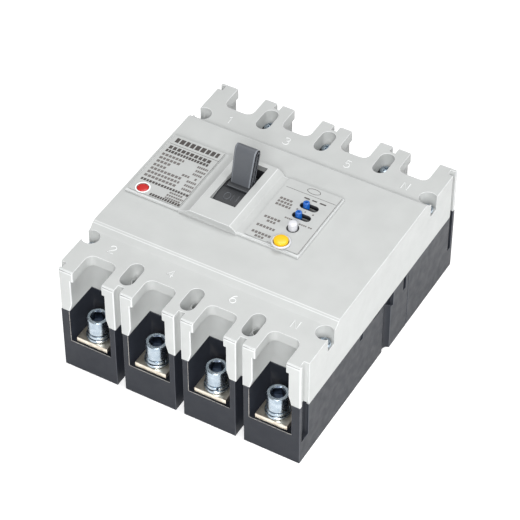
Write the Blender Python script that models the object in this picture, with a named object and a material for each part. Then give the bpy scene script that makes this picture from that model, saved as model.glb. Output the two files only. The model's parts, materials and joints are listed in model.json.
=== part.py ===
"""Four-pole molded case circuit breaker, 250 A frame, with a residual-current module.

X runs across the poles, Y from the load side (-) to the line side (+), and Z up from the
mounting face. The origin is at the middle of the mounting face. All sizes are in metres.
"""

import math

import bmesh
import bpy
from mathutils import Matrix, Vector

# Running gap between pieces that rest on each other
GAP = 0.0003

# Housing
WIDTH = 0.142
LENGTH = 0.165
POLE_PITCH = 0.035
SEAM_Z = 0.0402
DECK_Z = 0.0685
RAISED_Z = 0.0717
RAISED_HALF_Y = 0.0465
LABEL_BLOCK_Z = 0.0736
NOSE_Z = 0.0764
WALL = 0.003
FRONT_HALF_X = 0.0693
SIDE_STEP_Y = 0.0075
SIDE_CUT_X = 0.0685
REBATE_Z = 0.0389
SKIRT_INNER_X = 0.0696
SKIRT_Z = (0.0392, 0.0415)
GROOVE_Y = (0.077, 0.0805)
GROOVE_BOTTOM_Z = 0.014
GROOVE_INNER_X = 0.068
BASE_FRONT_GROOVE_X = 0.0668
BASE_FRONT_GROOVE_Y = (0.0736, 0.0805)

# Room inside the base and the cover
POLE_ROOM_HALF_X = 0.0155
BASE_ROOM_HALF_Y = 0.050
BASE_FLOOR_Z = 0.006
COVER_ROOM_HALF_Y = 0.046
COVER_ROOF_Z = 0.0684

# Gaps between the poles at both ends
BASE_GAP_HALF_X = 0.0024
BASE_GAP_START_Y = 0.0745
COVER_GAP_HALF_X = 0.00175
COVER_GAP_START_Y = 0.0777

# Terminal recesses
WINDOW_HALF_X = 0.012
WINDOW_FLOOR_Z = 0.0191
RECESS_BACK_Y = 0.062
RECESS_HALF_X = 0.010
RECESS_MOUTH_HALF_X = 0.0117
RECESS_MOUTH_TOP_Z = 0.0460
LIP_Z = 0.062
LIP_BACK_Y = 0.066
LIP_HALF_X = 0.00855
LIP_CORNER = 0.004

# Terminals and their bolts
BAR_HALF_X = 0.0091
BAR_BOTTOM_Z = WINDOW_FLOOR_Z + GAP
BAR_THICKNESS = 0.003
BAR_TOP_Z = BAR_BOTTOM_Z + BAR_THICKNESS
BAR_END_Y = 0.0816
BOLT_Y = 0.0745
BOLT_RADIUS = 0.003
BOLT_END_Z = 0.010
BOLT_HEAD_RADIUS = 0.0058
BOLT_HEAD_TOP_Z = 0.0360
FLAT_WASHER_RADIUS = 0.0067
SPRING_WASHER_RADIUS = 0.0062
HEX_ACROSS_FLATS = 0.0066
HEX_DEPTH = 0.005

# Slots, corner pockets and the screws in them
SLOT_HALF_X = 0.004
SLOT_Y = (0.0596, 0.076)
SLOT_FLOOR_Z = 0.0585
MOUNTING_HOLE_Y = 0.063
MOUNTING_HOLE_RADIUS = 0.00275
SLOT_SCREW_Y = 0.0713
POCKET_XY = (0.0674, 0.0552)
POCKET_RADIUS = 0.0048
POCKET_FLOOR_Z = 0.0595
POCKET_SCREW_XY = (0.0671, 0.0551)
SCREW_RADIUS = 0.0015
SCREW_HEAD_RADIUS = 0.0034
SCREW_HEAD_HEIGHT = 0.0030
SCREW_END_Z = 0.030

# Handle: it turns about an axis along X and leans toward the line side when it is on
HANDLE_X = -0.0175
PIVOT_Y = 0.004
PIVOT_Z = 0.035
HANDLE_LEAN = math.radians(11)
HANDLE_HALF_X = 0.00575
HANDLE_FOOT_R = 0.031
HANDLE_FRONT = [(-0.0037, 0.0310), (-0.0032, 0.0392), (-0.0053, 0.0392), (-0.0053, 0.0401)]
HANDLE_FRONT += [(-0.0031, 0.0401), (-0.0012, 0.0600), (-0.0008, 0.0624), (0.0000, 0.0632)]
HANDLE_BACK = [(0.0015, 0.0633), (0.0032, 0.0624), (0.0041, 0.0608), (0.0046, 0.0585)]
HANDLE_BACK += [(0.0028, 0.0400), (0.0024, 0.0310)]
SHUTTER_HOLE_Y = (-0.0038, 0.0032)
HANDLE_SLOT_X = (-0.0259, -0.0110)
HANDLE_SLOT_Y = (-0.0073, 0.0265)
SHUTTER_R = (0.0375, 0.0389)
SHUTTER_X = (-0.0088, 0.0069)
SHUTTER_SWEEP = (math.radians(-31), math.radians(43))
YOKE_HALF_X = 0.0093
YOKE_PLATE = 0.0015
YOKE_HALF_Y = 0.0038
PIN_RADIUS = 0.002

# Contacts and crossbar
CROSSBAR_Y = 0.008
CROSSBAR_Z = 0.022
CROSSBAR_RADIUS = 0.0055
CONTACT_Y = (0.033, 0.039)
FIXED_CONTACT_TOP_Z = 0.0262
ARM_Z = (0.0281, 0.0311)
ARM_HALF_X = 0.004

# Controls on the label block
TRIP_BUTTON_XY = (-0.0607, -0.0159)
TEST_BUTTON_XY = (0.0209, -0.0162)
RESET_BUTTON_XY = (0.0209, -0.0042)
KNOB_X = 0.019
KNOB_Y = (0.0053, 0.0134)
KNOB_SLOT_X = (0.0157, 0.0256)
KNOB_SLOT_HALF_Y = 0.002
PLATE_BOTTOM_Z = LABEL_BLOCK_Z + GAP
PLATE_TOP_Z = PLATE_BOTTOM_Z + 0.0003

POLE_X = [(number - 1.5) * POLE_PITCH for number in range(4)]
BORDER_X = [(number - 1) * POLE_PITCH for number in range(3)]
ENDS = {"load": -1, "line": 1}
SIDES = (-1, 1)


# ---------------------------------------------------------------- building tools


def clear_scene():
    for old in list(bpy.data.objects):
        bpy.data.objects.remove(old, do_unlink=True)


def make_finish(name, colour, roughness, metallic=0.0):
    finish = bpy.data.materials.new(name)
    finish.use_nodes = True
    shader = finish.node_tree.nodes["Principled BSDF"]
    shader.inputs["Base Color"].default_value = (*colour, 1.0)
    shader.inputs["Roughness"].default_value = roughness
    shader.inputs["Metallic"].default_value = metallic
    finish.diffuse_color = (*colour, 1.0)
    return finish


def spot(axis, across, up, along):
    """A point from its two outline coordinates and its place along the extrusion axis."""
    if axis == "X":
        return (along, across, up)
    if axis == "Y":
        return (across, along, up)
    return (across, up, along)


def add_prism(shape, outline, low, high, axis="Z"):
    """Extrude a closed outline along an axis into an open bmesh."""
    ring = [shape.verts.new(spot(axis, a, b, low)) for a, b in outline]
    face = shape.faces.new(ring)
    lifted = bmesh.ops.extrude_face_region(shape, geom=[face])
    moved = [item for item in lifted["geom"] if isinstance(item, bmesh.types.BMVert)]
    bmesh.ops.translate(shape, verts=moved, vec=Vector(spot(axis, 0, 0, high - low)))


def add_block(shape, x, y, z):
    outline = [(x[0], y[0]), (x[1], y[0]), (x[1], y[1]), (x[0], y[1])]
    add_prism(shape, outline, z[0], z[1])


def add_rod(shape, centre, radius, low, high, axis="Z", segments=24):
    """A cylinder; centre holds the two coordinates across its axis."""
    outline = arc(centre, radius, 0, 360 - 360 / segments, segments - 1)
    add_prism(shape, outline, low, high, axis)


def arc(centre, radius, start, stop, steps):
    """Points along an arc, angles in degrees."""
    points = []
    for step in range(steps + 1):
        angle = math.radians(start + (stop - start) * step / steps)
        points.append((centre[0] + radius * math.cos(angle), centre[1] + radius * math.sin(angle)))
    return points


def round_slot(x, y, steps=8):
    """A plan outline with half-round ends along its longer side."""
    radius = min(x[1] - x[0], y[1] - y[0]) / 2
    middle_x, middle_y = (x[0] + x[1]) / 2, (y[0] + y[1]) / 2
    if x[1] - x[0] > y[1] - y[0]:
        first = arc((x[1] - radius, middle_y), radius, -90, 90, steps)
        return first + arc((x[0] + radius, middle_y), radius, 90, 270, steps)
    first = arc((middle_x, y[1] - radius), radius, 0, 180, steps)
    return first + arc((middle_x, y[0] + radius), radius, 180, 360, steps)


def add_turned(shape, centre, profile, segments=16):
    """Spin an (r, z) profile, which starts and ends on the axis, about a vertical axis."""
    points = [shape.verts.new((centre[0] + r, centre[1], z)) for r, z in profile]
    edges = [shape.edges.new(pair) for pair in zip(points, points[1:])]
    bmesh.ops.spin(
        shape,
        geom=points + edges,
        cent=(*centre, 0),
        axis=(0, 0, 1),
        angle=math.tau,
        steps=segments,
        use_merge=True,
    )
    bmesh.ops.remove_doubles(shape, verts=shape.verts, dist=1e-6)


def finished(name, shape, finish=None, smooth=False):
    """Close the bmesh into a named object."""
    bmesh.ops.recalc_face_normals(shape, faces=shape.faces)
    mesh = bpy.data.meshes.new(name)
    shape.to_mesh(mesh)
    shape.free()
    made = bpy.data.objects.new(name, mesh)
    bpy.context.scene.collection.objects.link(made)
    if finish:
        mesh.materials.append(finish)
    if smooth:
        mesh.shade_smooth()
        mesh.set_sharp_from_angle(angle=math.radians(35))
    return made


def combine(target, tool, operation="DIFFERENCE"):
    """Cut a tool object out of the target, or join it on."""
    tool.hide_render = True
    tool.display_type = "WIRE"
    step = target.modifiers.new(tool.name, "BOOLEAN")
    step.operation = operation
    step.solver = "EXACT"
    step.object = tool


def on_axis(made, pivot, lean=0.0):
    """Move an object's origin to a pivot; its mesh was drawn around that pivot."""
    made.location = pivot
    made.rotation_euler = (-lean, 0, 0)


def mirrored_y(low_y, high_y, end):
    return (low_y, high_y) if end > 0 else (-high_y, -low_y)


# ---------------------------------------------------------------- places that repeat


def slot_screw_places():
    return [(x, end * SLOT_SCREW_Y) for x in BORDER_X for end in ENDS.values()]


def pocket_screw_places():
    x, y = POCKET_SCREW_XY
    return [(side * x, end * y) for side in SIDES for end in ENDS.values()]


def mounting_places():
    return [(x, end * MOUNTING_HOLE_Y) for x in BORDER_X for end in ENDS.values()]


def bolt_places():
    return [(x, end * BOLT_Y) for x in POLE_X for end in ENDS.values()]


# ---------------------------------------------------------------- housing


def base_outline():
    """The base seen from above: its load half is a little narrower than its line half."""
    right = [(FRONT_HALF_X, -LENGTH / 2), (FRONT_HALF_X, SIDE_STEP_Y)]
    right += [(WIDTH / 2, SIDE_STEP_Y), (WIDTH / 2, LENGTH / 2)]
    return right + [(-x, y) for x, y in reversed(right)]


def base_side_cutter():
    """Latch slots, notch and line on both long sides."""
    shape = bmesh.new()
    over = WIDTH / 2 + 0.001
    for side in SIDES:
        deep = sorted((side * SIDE_CUT_X, side * over))
        thin = sorted((side * (WIDTH / 2 - 0.0006), side * over))
        add_block(shape, deep, (-0.0200, -0.0170), (0.031, 0.041))
        add_block(shape, deep, (0.0240, 0.0270), (0.030, 0.041))
        add_block(shape, thin, (0.0296, 0.0302), (-0.001, 0.0380))
        ledge = [(-0.0055, 0.0342), (0.0050, 0.0345), (0.0092, 0.0316), (0.0130, 0.0294)]
        add_prism(shape, ledge + [(0.0130, 0.041), (-0.0055, 0.041)], *deep, axis="X")
    return finished("cutter_base_sides", shape)


def base_rebate_cutter():
    """Room for the cover's skirt along the line half."""
    shape = bmesh.new()
    for side in SIDES:
        x = sorted((side * FRONT_HALF_X, side * (WIDTH / 2 + 0.001)))
        add_block(shape, x, (SIDE_STEP_Y, GROOVE_Y[0] + GAP), (REBATE_Z, SEAM_Z + 0.001))
    return finished("cutter_base_rebate", shape)


def base_side_groove_cutter():
    shape = bmesh.new()
    for side in SIDES:
        add_rod(shape, (side * (WIDTH / 2 + 0.0004), 0.0075), 0.003, -0.001, 0.0335, segments=16)
    return finished("cutter_base_side_groove", shape)


def base_corner_cutter():
    """A groove down each corner, wider and deeper at the load end."""
    shape = bmesh.new()
    for side in SIDES:
        for end in ENDS.values():
            inner = GROOVE_INNER_X if end > 0 else BASE_FRONT_GROOVE_X
            y = GROOVE_Y if end > 0 else BASE_FRONT_GROOVE_Y
            x = sorted((side * inner, side * (WIDTH / 2 + 0.001)))
            add_block(shape, x, mirrored_y(*y, end), (GROOVE_BOTTOM_Z, SEAM_Z + 0.001))
    return finished("cutter_base_corners", shape)


def gap_cutter(name, half_x, start_y, low, high):
    shape = bmesh.new()
    for x in BORDER_X:
        for end in ENDS.values():
            y = mirrored_y(start_y, LENGTH / 2 + 0.001, end)
            add_block(shape, (x - half_x, x + half_x), y, (low, high))
    return finished(name, shape)


def base_room_cutter():
    shape = bmesh.new()
    for x in POLE_X:
        room = (x - POLE_ROOM_HALF_X, x + POLE_ROOM_HALF_X)
        add_block(shape, room, (-BASE_ROOM_HALF_Y, BASE_ROOM_HALF_Y), (BASE_FLOOR_Z, SEAM_Z + 0.001))
    return finished("cutter_base_rooms", shape)


def base_window_cutter():
    shape = bmesh.new()
    for x in POLE_X:
        for end in ENDS.values():
            y = mirrored_y(RECESS_BACK_Y, LENGTH / 2 + 0.001, end)
            z = (WINDOW_FLOOR_Z, SEAM_Z + 0.001)
            add_block(shape, (x - WINDOW_HALF_X, x + WINDOW_HALF_X), y, z)
    return finished("cutter_base_windows", shape)


def bar_slot_cutter():
    shape = bmesh.new()
    half = BAR_HALF_X + GAP
    for x in POLE_X:
        for end in ENDS.values():
            y = mirrored_y(BASE_ROOM_HALF_Y - 0.001, RECESS_BACK_Y + 0.001, end)
            add_block(shape, (x - half, x + half), y, (WINDOW_FLOOR_Z - 0.0002, BAR_TOP_Z + GAP))
    return finished("cutter_bar_slots", shape)


def partition_cutter():
    """Openings in the walls between the poles, for the crossbar and the transformer ring."""
    shape = bmesh.new()
    span = (-0.067, 0.067)
    room = CROSSBAR_RADIUS + 0.001
    top = SEAM_Z + 0.0015
    add_block(shape, span, (CROSSBAR_Y - room, CROSSBAR_Y + room), (CROSSBAR_Z - room, top))
    add_block(shape, span, (-0.0286, -0.0194), (0.0084, top))
    return finished("cutter_partitions", shape)


def base_hole_cutter():
    shape = bmesh.new()
    for place in mounting_places():
        add_rod(shape, place, MOUNTING_HOLE_RADIUS, -0.001, SEAM_Z + 0.001, segments=12)
    for place in slot_screw_places() + pocket_screw_places():
        add_rod(shape, place, SCREW_RADIUS + GAP, SCREW_END_Z - 0.003, SEAM_Z + 0.001, segments=10)
    for place in bolt_places():
        low = BOLT_END_Z - 0.002
        add_rod(shape, place, BOLT_RADIUS + 2 * GAP, low, WINDOW_FLOOR_Z + 0.001, segments=12)
    return finished("cutter_base_holes", shape)


def make_base(finish):
    shape = bmesh.new()
    add_prism(shape, base_outline(), 0, SEAM_Z)
    base = finished("base", shape, finish)
    combine(base, base_room_cutter())
    combine(base, base_window_cutter())
    combine(base, bar_slot_cutter())
    combine(base, partition_cutter())
    combine(base, gap_cutter("cutter_base_gaps", BASE_GAP_HALF_X, BASE_GAP_START_Y, -0.001, 0.041))
    combine(base, base_corner_cutter())
    combine(base, base_side_cutter())
    combine(base, base_rebate_cutter())
    combine(base, base_side_groove_cutter())
    combine(base, base_hole_cutter())
    return base


def cover_profile():
    """The cover seen from its side: rounded end edges and a raised middle deck."""
    end_y = LENGTH / 2
    edge = 0.001
    half = [(end_y, SEAM_Z + GAP)]
    half += arc((end_y - edge, DECK_Z - edge), edge, 0, 90, 2)
    half += [(0.0510, DECK_Z), (0.0500, DECK_Z + 0.0005), (0.0478, RAISED_Z - 0.0005)]
    half += [(RAISED_HALF_Y, RAISED_Z)]
    return half + [(-y, z) for y, z in reversed(half)]


def nose_profile():
    """The handle housing seen from the load side: a hollow left flank and a steep right one."""
    foot = LABEL_BLOCK_Z - 0.0003
    left = [(-0.0365, foot), (-0.0340, 0.0741), (-0.0320, 0.0750), (-0.0306, 0.0760)]
    top = [(-0.0298, NOSE_Z), (-0.0064, NOSE_Z)]
    right = [(-0.0052, 0.0759), (-0.0036, 0.0746), (-0.0025, foot)]
    return [(-0.0365, 0.0700)] + left + top + right + [(-0.0025, 0.0700)]


def cover_recess_cutter():
    shape = bmesh.new()
    for x in POLE_X:
        right = [(RECESS_MOUTH_HALF_X, SEAM_Z), (RECESS_HALF_X, RECESS_MOUTH_TOP_Z)]
        right += [(RECESS_HALF_X, LIP_Z)]
        outline = [(x + a, b) for a, b in right] + [(x - a, b) for a, b in reversed(right)]
        for end in ENDS.values():
            y = mirrored_y(RECESS_BACK_Y, LENGTH / 2 + 0.001, end)
            add_prism(shape, outline, *y, axis="Y")
    return finished("cutter_cover_recesses", shape)


def cover_lip_cutter():
    shape = bmesh.new()
    inner = LIP_HALF_X - LIP_CORNER
    for x in POLE_X:
        for end in ENDS.values():
            corner_y = LIP_BACK_Y + LIP_CORNER
            outline = [(LIP_HALF_X, LENGTH / 2 + 0.001)]
            outline += arc((inner, corner_y), LIP_CORNER, 0, -90, 4)
            outline += [(-a, b) for a, b in reversed(outline)]
            outline = [(x + a, end * b) for a, b in outline]
            add_prism(shape, outline, LIP_Z - 0.001, DECK_Z + 0.001)
    return finished("cutter_cover_lips", shape)


def cover_corner_cutter():
    """A groove down each corner; the load end's corner posts stand back from the sides."""
    shape = bmesh.new()
    inner = GROOVE_INNER_X
    over = (WIDTH / 2 + 0.001, LENGTH / 2 + 0.001)
    post = [(inner, -GROOVE_Y[0]), (over[0], -GROOVE_Y[0]), (over[0], -over[1])]
    post += [(FRONT_HALF_X, -over[1]), (FRONT_HALF_X, -GROOVE_Y[1]), (inner, -GROOVE_Y[1])]
    for side in SIDES:
        add_prism(shape, [(side * x, y) for x, y in post], SEAM_Z, RAISED_Z + 0.001)
        x = sorted((side * inner, side * over[0]))
        add_block(shape, x, GROOVE_Y, (SEAM_Z, RAISED_Z + 0.001))
    return finished("cutter_cover_corners", shape)


def add_skirts(shape):
    """The lips along both long sides that lap over the base."""
    reach = GROOVE_Y[0] - GAP
    for side in SIDES:
        x = sorted((side * SKIRT_INNER_X, side * WIDTH / 2))
        add_block(shape, x, (-reach, reach), SKIRT_Z)


def slot_cutter():
    """Slots between the poles and pockets at the corners, where the cover screws sit."""
    shape = bmesh.new()
    for end in ENDS.values():
        for x in BORDER_X:
            outline = round_slot((x - SLOT_HALF_X, x + SLOT_HALF_X), mirrored_y(*SLOT_Y, end))
            add_prism(shape, outline, SLOT_FLOOR_Z, DECK_Z + 0.001)
        for side in SIDES:
            centre = (side * POCKET_XY[0], end * POCKET_XY[1])
            add_rod(shape, centre, POCKET_RADIUS, POCKET_FLOOR_Z, DECK_Z + 0.001)
    return finished("cutter_slots", shape)


def cover_hole_cutter():
    shape = bmesh.new()
    for place in mounting_places():
        add_rod(shape, place, MOUNTING_HOLE_RADIUS, SEAM_Z, SLOT_FLOOR_Z + 0.001, segments=12)
    for place in slot_screw_places() + pocket_screw_places():
        top = POCKET_FLOOR_Z + 0.0005
        add_rod(shape, place, SCREW_RADIUS + GAP, SEAM_Z, top, segments=10)
    return finished("cutter_cover_holes", shape)


def control_cutter(name, low, high, clearance):
    """Round holes for the buttons and slots for the selector knobs."""
    shape = bmesh.new()
    add_rod(shape, TRIP_BUTTON_XY, 0.0031 + clearance, low, high, segments=20)
    add_rod(shape, TEST_BUTTON_XY, 0.0038 + clearance, low, high, segments=20)
    add_rod(shape, RESET_BUTTON_XY, 0.0029 + clearance, low, high, segments=20)
    for y in KNOB_Y:
        span = (y - KNOB_SLOT_HALF_Y, y + KNOB_SLOT_HALF_Y)
        add_prism(shape, round_slot(KNOB_SLOT_X, span, 6), low, high)
    return finished(name, shape)


def add_label_block(shape):
    """The raised field that carries both labels, with softened top edges."""
    add_block(shape, (-0.0687, 0.0330), (-0.0205, 0.0285), (0.0705, LABEL_BLOCK_Z))
    top_edges = [e for e in shape.edges if all(v.co.z > LABEL_BLOCK_Z - 1e-5 for v in e.verts)]
    bmesh.ops.bevel(shape, geom=top_edges, offset=0.0006, segments=2, profile=0.5, affect="EDGES")


def make_cover(finish):
    shape = bmesh.new()
    half = WIDTH / 2
    add_prism(shape, cover_profile(), -half, half, axis="X")
    cover = finished("cover", shape, finish)

    shape = bmesh.new()
    add_label_block(shape)
    combine(cover, finished("tool_label_block", shape), "UNION")
    shape = bmesh.new()
    add_prism(shape, nose_profile(), -0.0209, 0.0291, axis="Y")
    combine(cover, finished("tool_nose", shape), "UNION")
    shape = bmesh.new()
    add_skirts(shape)
    combine(cover, finished("tool_skirts", shape), "UNION")

    shape = bmesh.new()
    inner = half - WALL
    room_y = (-COVER_ROOM_HALF_Y, COVER_ROOM_HALF_Y)
    add_block(shape, (-inner, inner), room_y, (SEAM_Z, COVER_ROOF_Z))
    combine(cover, finished("cutter_cover_room", shape))
    shape = bmesh.new()
    room = 0.0004
    low, high = HANDLE_X + SHUTTER_X[0] - room, HANDLE_X + SHUTTER_X[1] + room
    arch = arc((PIVOT_Y, PIVOT_Z), SHUTTER_R[1] + room, 20, 160, 28)
    add_prism(shape, arch, low, high, axis="X")
    combine(cover, finished("cutter_shutter_arch", shape))
    shape = bmesh.new()
    add_block(shape, HANDLE_SLOT_X, HANDLE_SLOT_Y, (0.0650, NOSE_Z + 0.001))
    combine(cover, finished("cutter_handle_slot", shape))

    combine(cover, cover_recess_cutter())
    combine(cover, cover_lip_cutter())
    top = DECK_Z + 0.001
    combine(cover, gap_cutter("cutter_cover_gaps", COVER_GAP_HALF_X, COVER_GAP_START_Y, SEAM_Z, top))
    combine(cover, cover_corner_cutter())
    combine(cover, slot_cutter())
    combine(cover, cover_hole_cutter())
    combine(cover, control_cutter("cutter_controls", 0.0670, 0.0780, 0.0003))
    return cover


def make_plate(name, x, y, finish, cutter):
    """A printed label plate with small rounded corners."""
    shape = bmesh.new()
    corner = 0.0008
    outline = []
    for centre_x, centre_y, start in (
        (x[1] - corner, y[1] - corner, 0),
        (x[0] + corner, y[1] - corner, 90),
        (x[0] + corner, y[0] + corner, 180),
        (x[1] - corner, y[0] + corner, 270),
    ):
        outline += arc((centre_x, centre_y), corner, start, start + 90, 2)
    add_prism(shape, outline, PLATE_BOTTOM_Z, PLATE_TOP_Z)
    plate = finished(name, shape, finish)
    combine(plate, cutter)
    return plate


# ---------------------------------------------------------------- terminals and fasteners


def make_terminal(name, x, end, finish):
    """A terminal bar with a bolt hole, turned up inside; the line side carries the fixed contact."""
    shape = bmesh.new()
    if end > 0:
        inner, stub_top = CONTACT_Y[0], FIXED_CONTACT_TOP_Z
        stub_outer = CONTACT_Y[1]
    else:
        inner, stub_top = 0.0140, 0.0300
        stub_outer = 0.0158
    outline = [(BAR_END_Y, BAR_BOTTOM_Z), (BAR_END_Y, BAR_TOP_Z), (stub_outer, BAR_TOP_Z)]
    outline += [(stub_outer, stub_top), (inner, stub_top), (inner, BAR_BOTTOM_Z)]
    outline = [(end * y, z) for y, z in outline]
    add_prism(shape, outline, x - BAR_HALF_X, x + BAR_HALF_X, axis="X")
    bar = finished(name, shape, finish)
    shape = bmesh.new()
    hole = BOLT_RADIUS + GAP
    add_rod(shape, (x, end * BOLT_Y), hole, BAR_BOTTOM_Z - 0.001, BAR_TOP_Z + 0.001, segments=16)
    combine(bar, finished("cutter_" + name, shape))
    return bar


def make_terminal_bolt(name, place, finish):
    """A socket-head bolt with its captive spring washer and flat washer."""
    seat = BAR_TOP_Z + GAP
    flat_top = seat + 0.0015
    head_bottom = 0.0266
    edge = 0.0005
    profile = [(0, BOLT_END_Z), (BOLT_RADIUS, BOLT_END_Z), (BOLT_RADIUS, seat)]
    profile += [(FLAT_WASHER_RADIUS, seat), (FLAT_WASHER_RADIUS, flat_top)]
    profile += [(SPRING_WASHER_RADIUS, flat_top), (SPRING_WASHER_RADIUS, head_bottom)]
    profile += [(BOLT_HEAD_RADIUS, head_bottom), (BOLT_HEAD_RADIUS, BOLT_HEAD_TOP_Z - edge)]
    profile += [(BOLT_HEAD_RADIUS - edge, BOLT_HEAD_TOP_Z), (0, BOLT_HEAD_TOP_Z)]
    shape = bmesh.new()
    add_turned(shape, place, profile)
    bolt = finished(name, shape, finish, smooth=True)
    shape = bmesh.new()
    corner = HEX_ACROSS_FLATS / math.sqrt(3)
    low = BOLT_HEAD_TOP_Z - HEX_DEPTH
    add_rod(shape, place, corner, low, BOLT_HEAD_TOP_Z + 0.001, segments=6)
    combine(bolt, finished("cutter_" + name, shape))
    return bolt


def make_cover_screw(name, place, floor_z, finish):
    """A pan-head screw; its cross recess is cut below."""
    seat = floor_z + GAP
    top = seat + SCREW_HEAD_HEIGHT
    profile = [(0, SCREW_END_Z), (SCREW_RADIUS, SCREW_END_Z), (SCREW_RADIUS, seat)]
    profile += [(SCREW_HEAD_RADIUS, seat), (SCREW_HEAD_RADIUS, top - 0.0012)]
    profile += [(SCREW_HEAD_RADIUS * 0.72, top - 0.0002), (0, top)]
    shape = bmesh.new()
    add_turned(shape, place, profile, segments=10)
    screw = finished(name, shape, finish, smooth=True)
    shape = bmesh.new()
    long_arm, short_arm = 0.0018, 0.0004
    outline = []
    for turn in range(4):
        quarter = Matrix.Rotation(turn * math.pi / 2, 2)
        for corner in ((long_arm, -short_arm), (long_arm, short_arm), (short_arm, short_arm)):
            moved = quarter @ Vector(corner)
            outline.append((place[0] + moved.x, place[1] + moved.y))
    add_prism(shape, outline, top - 0.0014, top + 0.001)
    combine(screw, finished("cutter_" + name, shape))
    return screw


# ---------------------------------------------------------------- switching mechanism


def make_handle(finish):
    """The toggle: a foot that runs over the shutter, and a blade that rises to a blunt tip."""
    shape = bmesh.new()
    add_prism(shape, HANDLE_FRONT + HANDLE_BACK, -HANDLE_HALF_X, HANDLE_HALF_X, axis="X")
    handle = finished("handle", shape, finish, smooth=True)
    on_axis(handle, (HANDLE_X, PIVOT_Y, PIVOT_Z), HANDLE_LEAN)
    return handle


def make_shutter(finish):
    """The curved strip that closes the slot around the handle at every angle."""
    start, stop = (90 - math.degrees(angle) for angle in SHUTTER_SWEEP)
    outline = arc((0, 0), SHUTTER_R[1], start, stop, 16) + arc((0, 0), SHUTTER_R[0], stop, start, 16)
    shape = bmesh.new()
    add_prism(shape, outline, *SHUTTER_X, axis="X")
    shutter = finished("handle_shutter", shape, finish, smooth=True)
    shape = bmesh.new()
    half_x = HANDLE_HALF_X + GAP
    add_block(shape, (-half_x, half_x), SHUTTER_HOLE_Y, (0.0300, 0.0450))
    hole = finished("cutter_shutter_hole", shape)
    for made in (shutter, hole):
        on_axis(made, (HANDLE_X, PIVOT_Y, PIVOT_Z), HANDLE_LEAN)
    combine(shutter, hole)
    return shutter


def make_yoke(finish):
    """The steel fork under the handle, with a pivot hole in each leg."""
    top = HANDLE_FOOT_R - GAP
    inner = YOKE_HALF_X - YOKE_PLATE
    foot = -0.004
    outline = [(-YOKE_HALF_X, foot), (-YOKE_HALF_X, top), (YOKE_HALF_X, top), (YOKE_HALF_X, foot)]
    outline += [(inner, foot), (inner, top - YOKE_PLATE), (-inner, top - YOKE_PLATE), (-inner, foot)]
    shape = bmesh.new()
    add_prism(shape, outline, -YOKE_HALF_Y, YOKE_HALF_Y, axis="Y")
    yoke = finished("handle_yoke", shape, finish)
    shape = bmesh.new()
    add_rod(shape, (0, 0), PIN_RADIUS + GAP, -0.011, 0.011, axis="X", segments=16)
    hole = finished("cutter_yoke_pivot", shape)
    for made in (yoke, hole):
        on_axis(made, (HANDLE_X, PIVOT_Y, PIVOT_Z), HANDLE_LEAN)
    combine(yoke, hole)
    return yoke


def make_mechanism_frame(finish):
    """Two side plates joined by a cross plate, with a stub pin each for the yoke."""
    inner, outer = 0.0105, 0.0120
    side = [(-0.0110, BASE_FLOOR_Z + GAP), (0.0005, BASE_FLOOR_Z + GAP), (0.0005, 0.0295)]
    side += [(0.0155, 0.0295), (0.0155, BASE_FLOOR_Z + GAP), (0.0270, BASE_FLOOR_Z + GAP)]
    side += [(0.0270, 0.0440), (0.0120, 0.0480), (-0.0040, 0.0480), (-0.0110, 0.0440)]
    shape = bmesh.new()
    add_prism(shape, side, HANDLE_X - outer, HANDLE_X - inner, axis="X")
    frame = finished("mechanism_frame", shape, finish)
    shape = bmesh.new()
    add_prism(shape, side, HANDLE_X + inner, HANDLE_X + outer, axis="X")
    combine(frame, finished("tool_frame_side", shape), "UNION")
    shape = bmesh.new()
    overlap = 0.0005
    reach = (HANDLE_X - inner - overlap, HANDLE_X + inner + overlap)
    add_block(shape, reach, (-0.0108, -0.0093), (0.0302, 0.0438))
    combine(frame, finished("tool_frame_tie", shape), "UNION")
    shape = bmesh.new()
    for hand in SIDES:
        span = sorted((HANDLE_X + hand * 0.0075, HANDLE_X + hand * (inner + overlap)))
        add_rod(shape, (PIVOT_Y, PIVOT_Z), PIN_RADIUS, *span, axis="X", segments=16)
    combine(frame, finished("tool_frame_pins", shape), "UNION")
    return frame


def make_crossbar(finish):
    shape = bmesh.new()
    add_rod(shape, (0, 0), CROSSBAR_RADIUS, -0.0665, 0.0665, axis="X", segments=20)
    crossbar = finished("crossbar", shape, finish, smooth=True)
    on_axis(crossbar, (0, CROSSBAR_Y, CROSSBAR_Z))
    return crossbar


def make_moving_contact(name, x, finish):
    """A contact arm above the crossbar; its tip rests just over the fixed contact."""
    low, high = (z - CROSSBAR_Z for z in ARM_Z)
    tip_low = FIXED_CONTACT_TOP_Z + GAP - CROSSBAR_Z
    back, tip_in, tip_out = (y - CROSSBAR_Y for y in (0.0040, 0.0340, 0.0380))
    outline = [(back, low), (tip_in, low), (tip_in, tip_low), (tip_out, tip_low)]
    outline += [(tip_out, high), (back, high)]
    shape = bmesh.new()
    add_prism(shape, outline, -ARM_HALF_X, ARM_HALF_X, axis="X")
    arm = finished(name, shape, finish)
    on_axis(arm, (x, CROSSBAR_Y, CROSSBAR_Z))
    return arm


def make_arc_chute(name, x, finish):
    """A stack of splitter fins on one back plate, behind the contact tips."""
    back, spine, front = 0.0457, 0.0445, 0.0402
    low, high = 0.0250, 0.0610
    pitch, fin = 0.0045, 0.0012
    outline = [(back, high), (back, low)]
    for number in range(int((high - low) / pitch)):
        z = low + number * pitch
        outline += [(front, z), (front, z + fin), (spine, z + fin), (spine, z + pitch)]
    outline += [(spine, high)]
    shape = bmesh.new()
    add_prism(shape, outline, x - 0.0125, x + 0.0125, axis="X")
    return finished(name, shape, finish)


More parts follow.
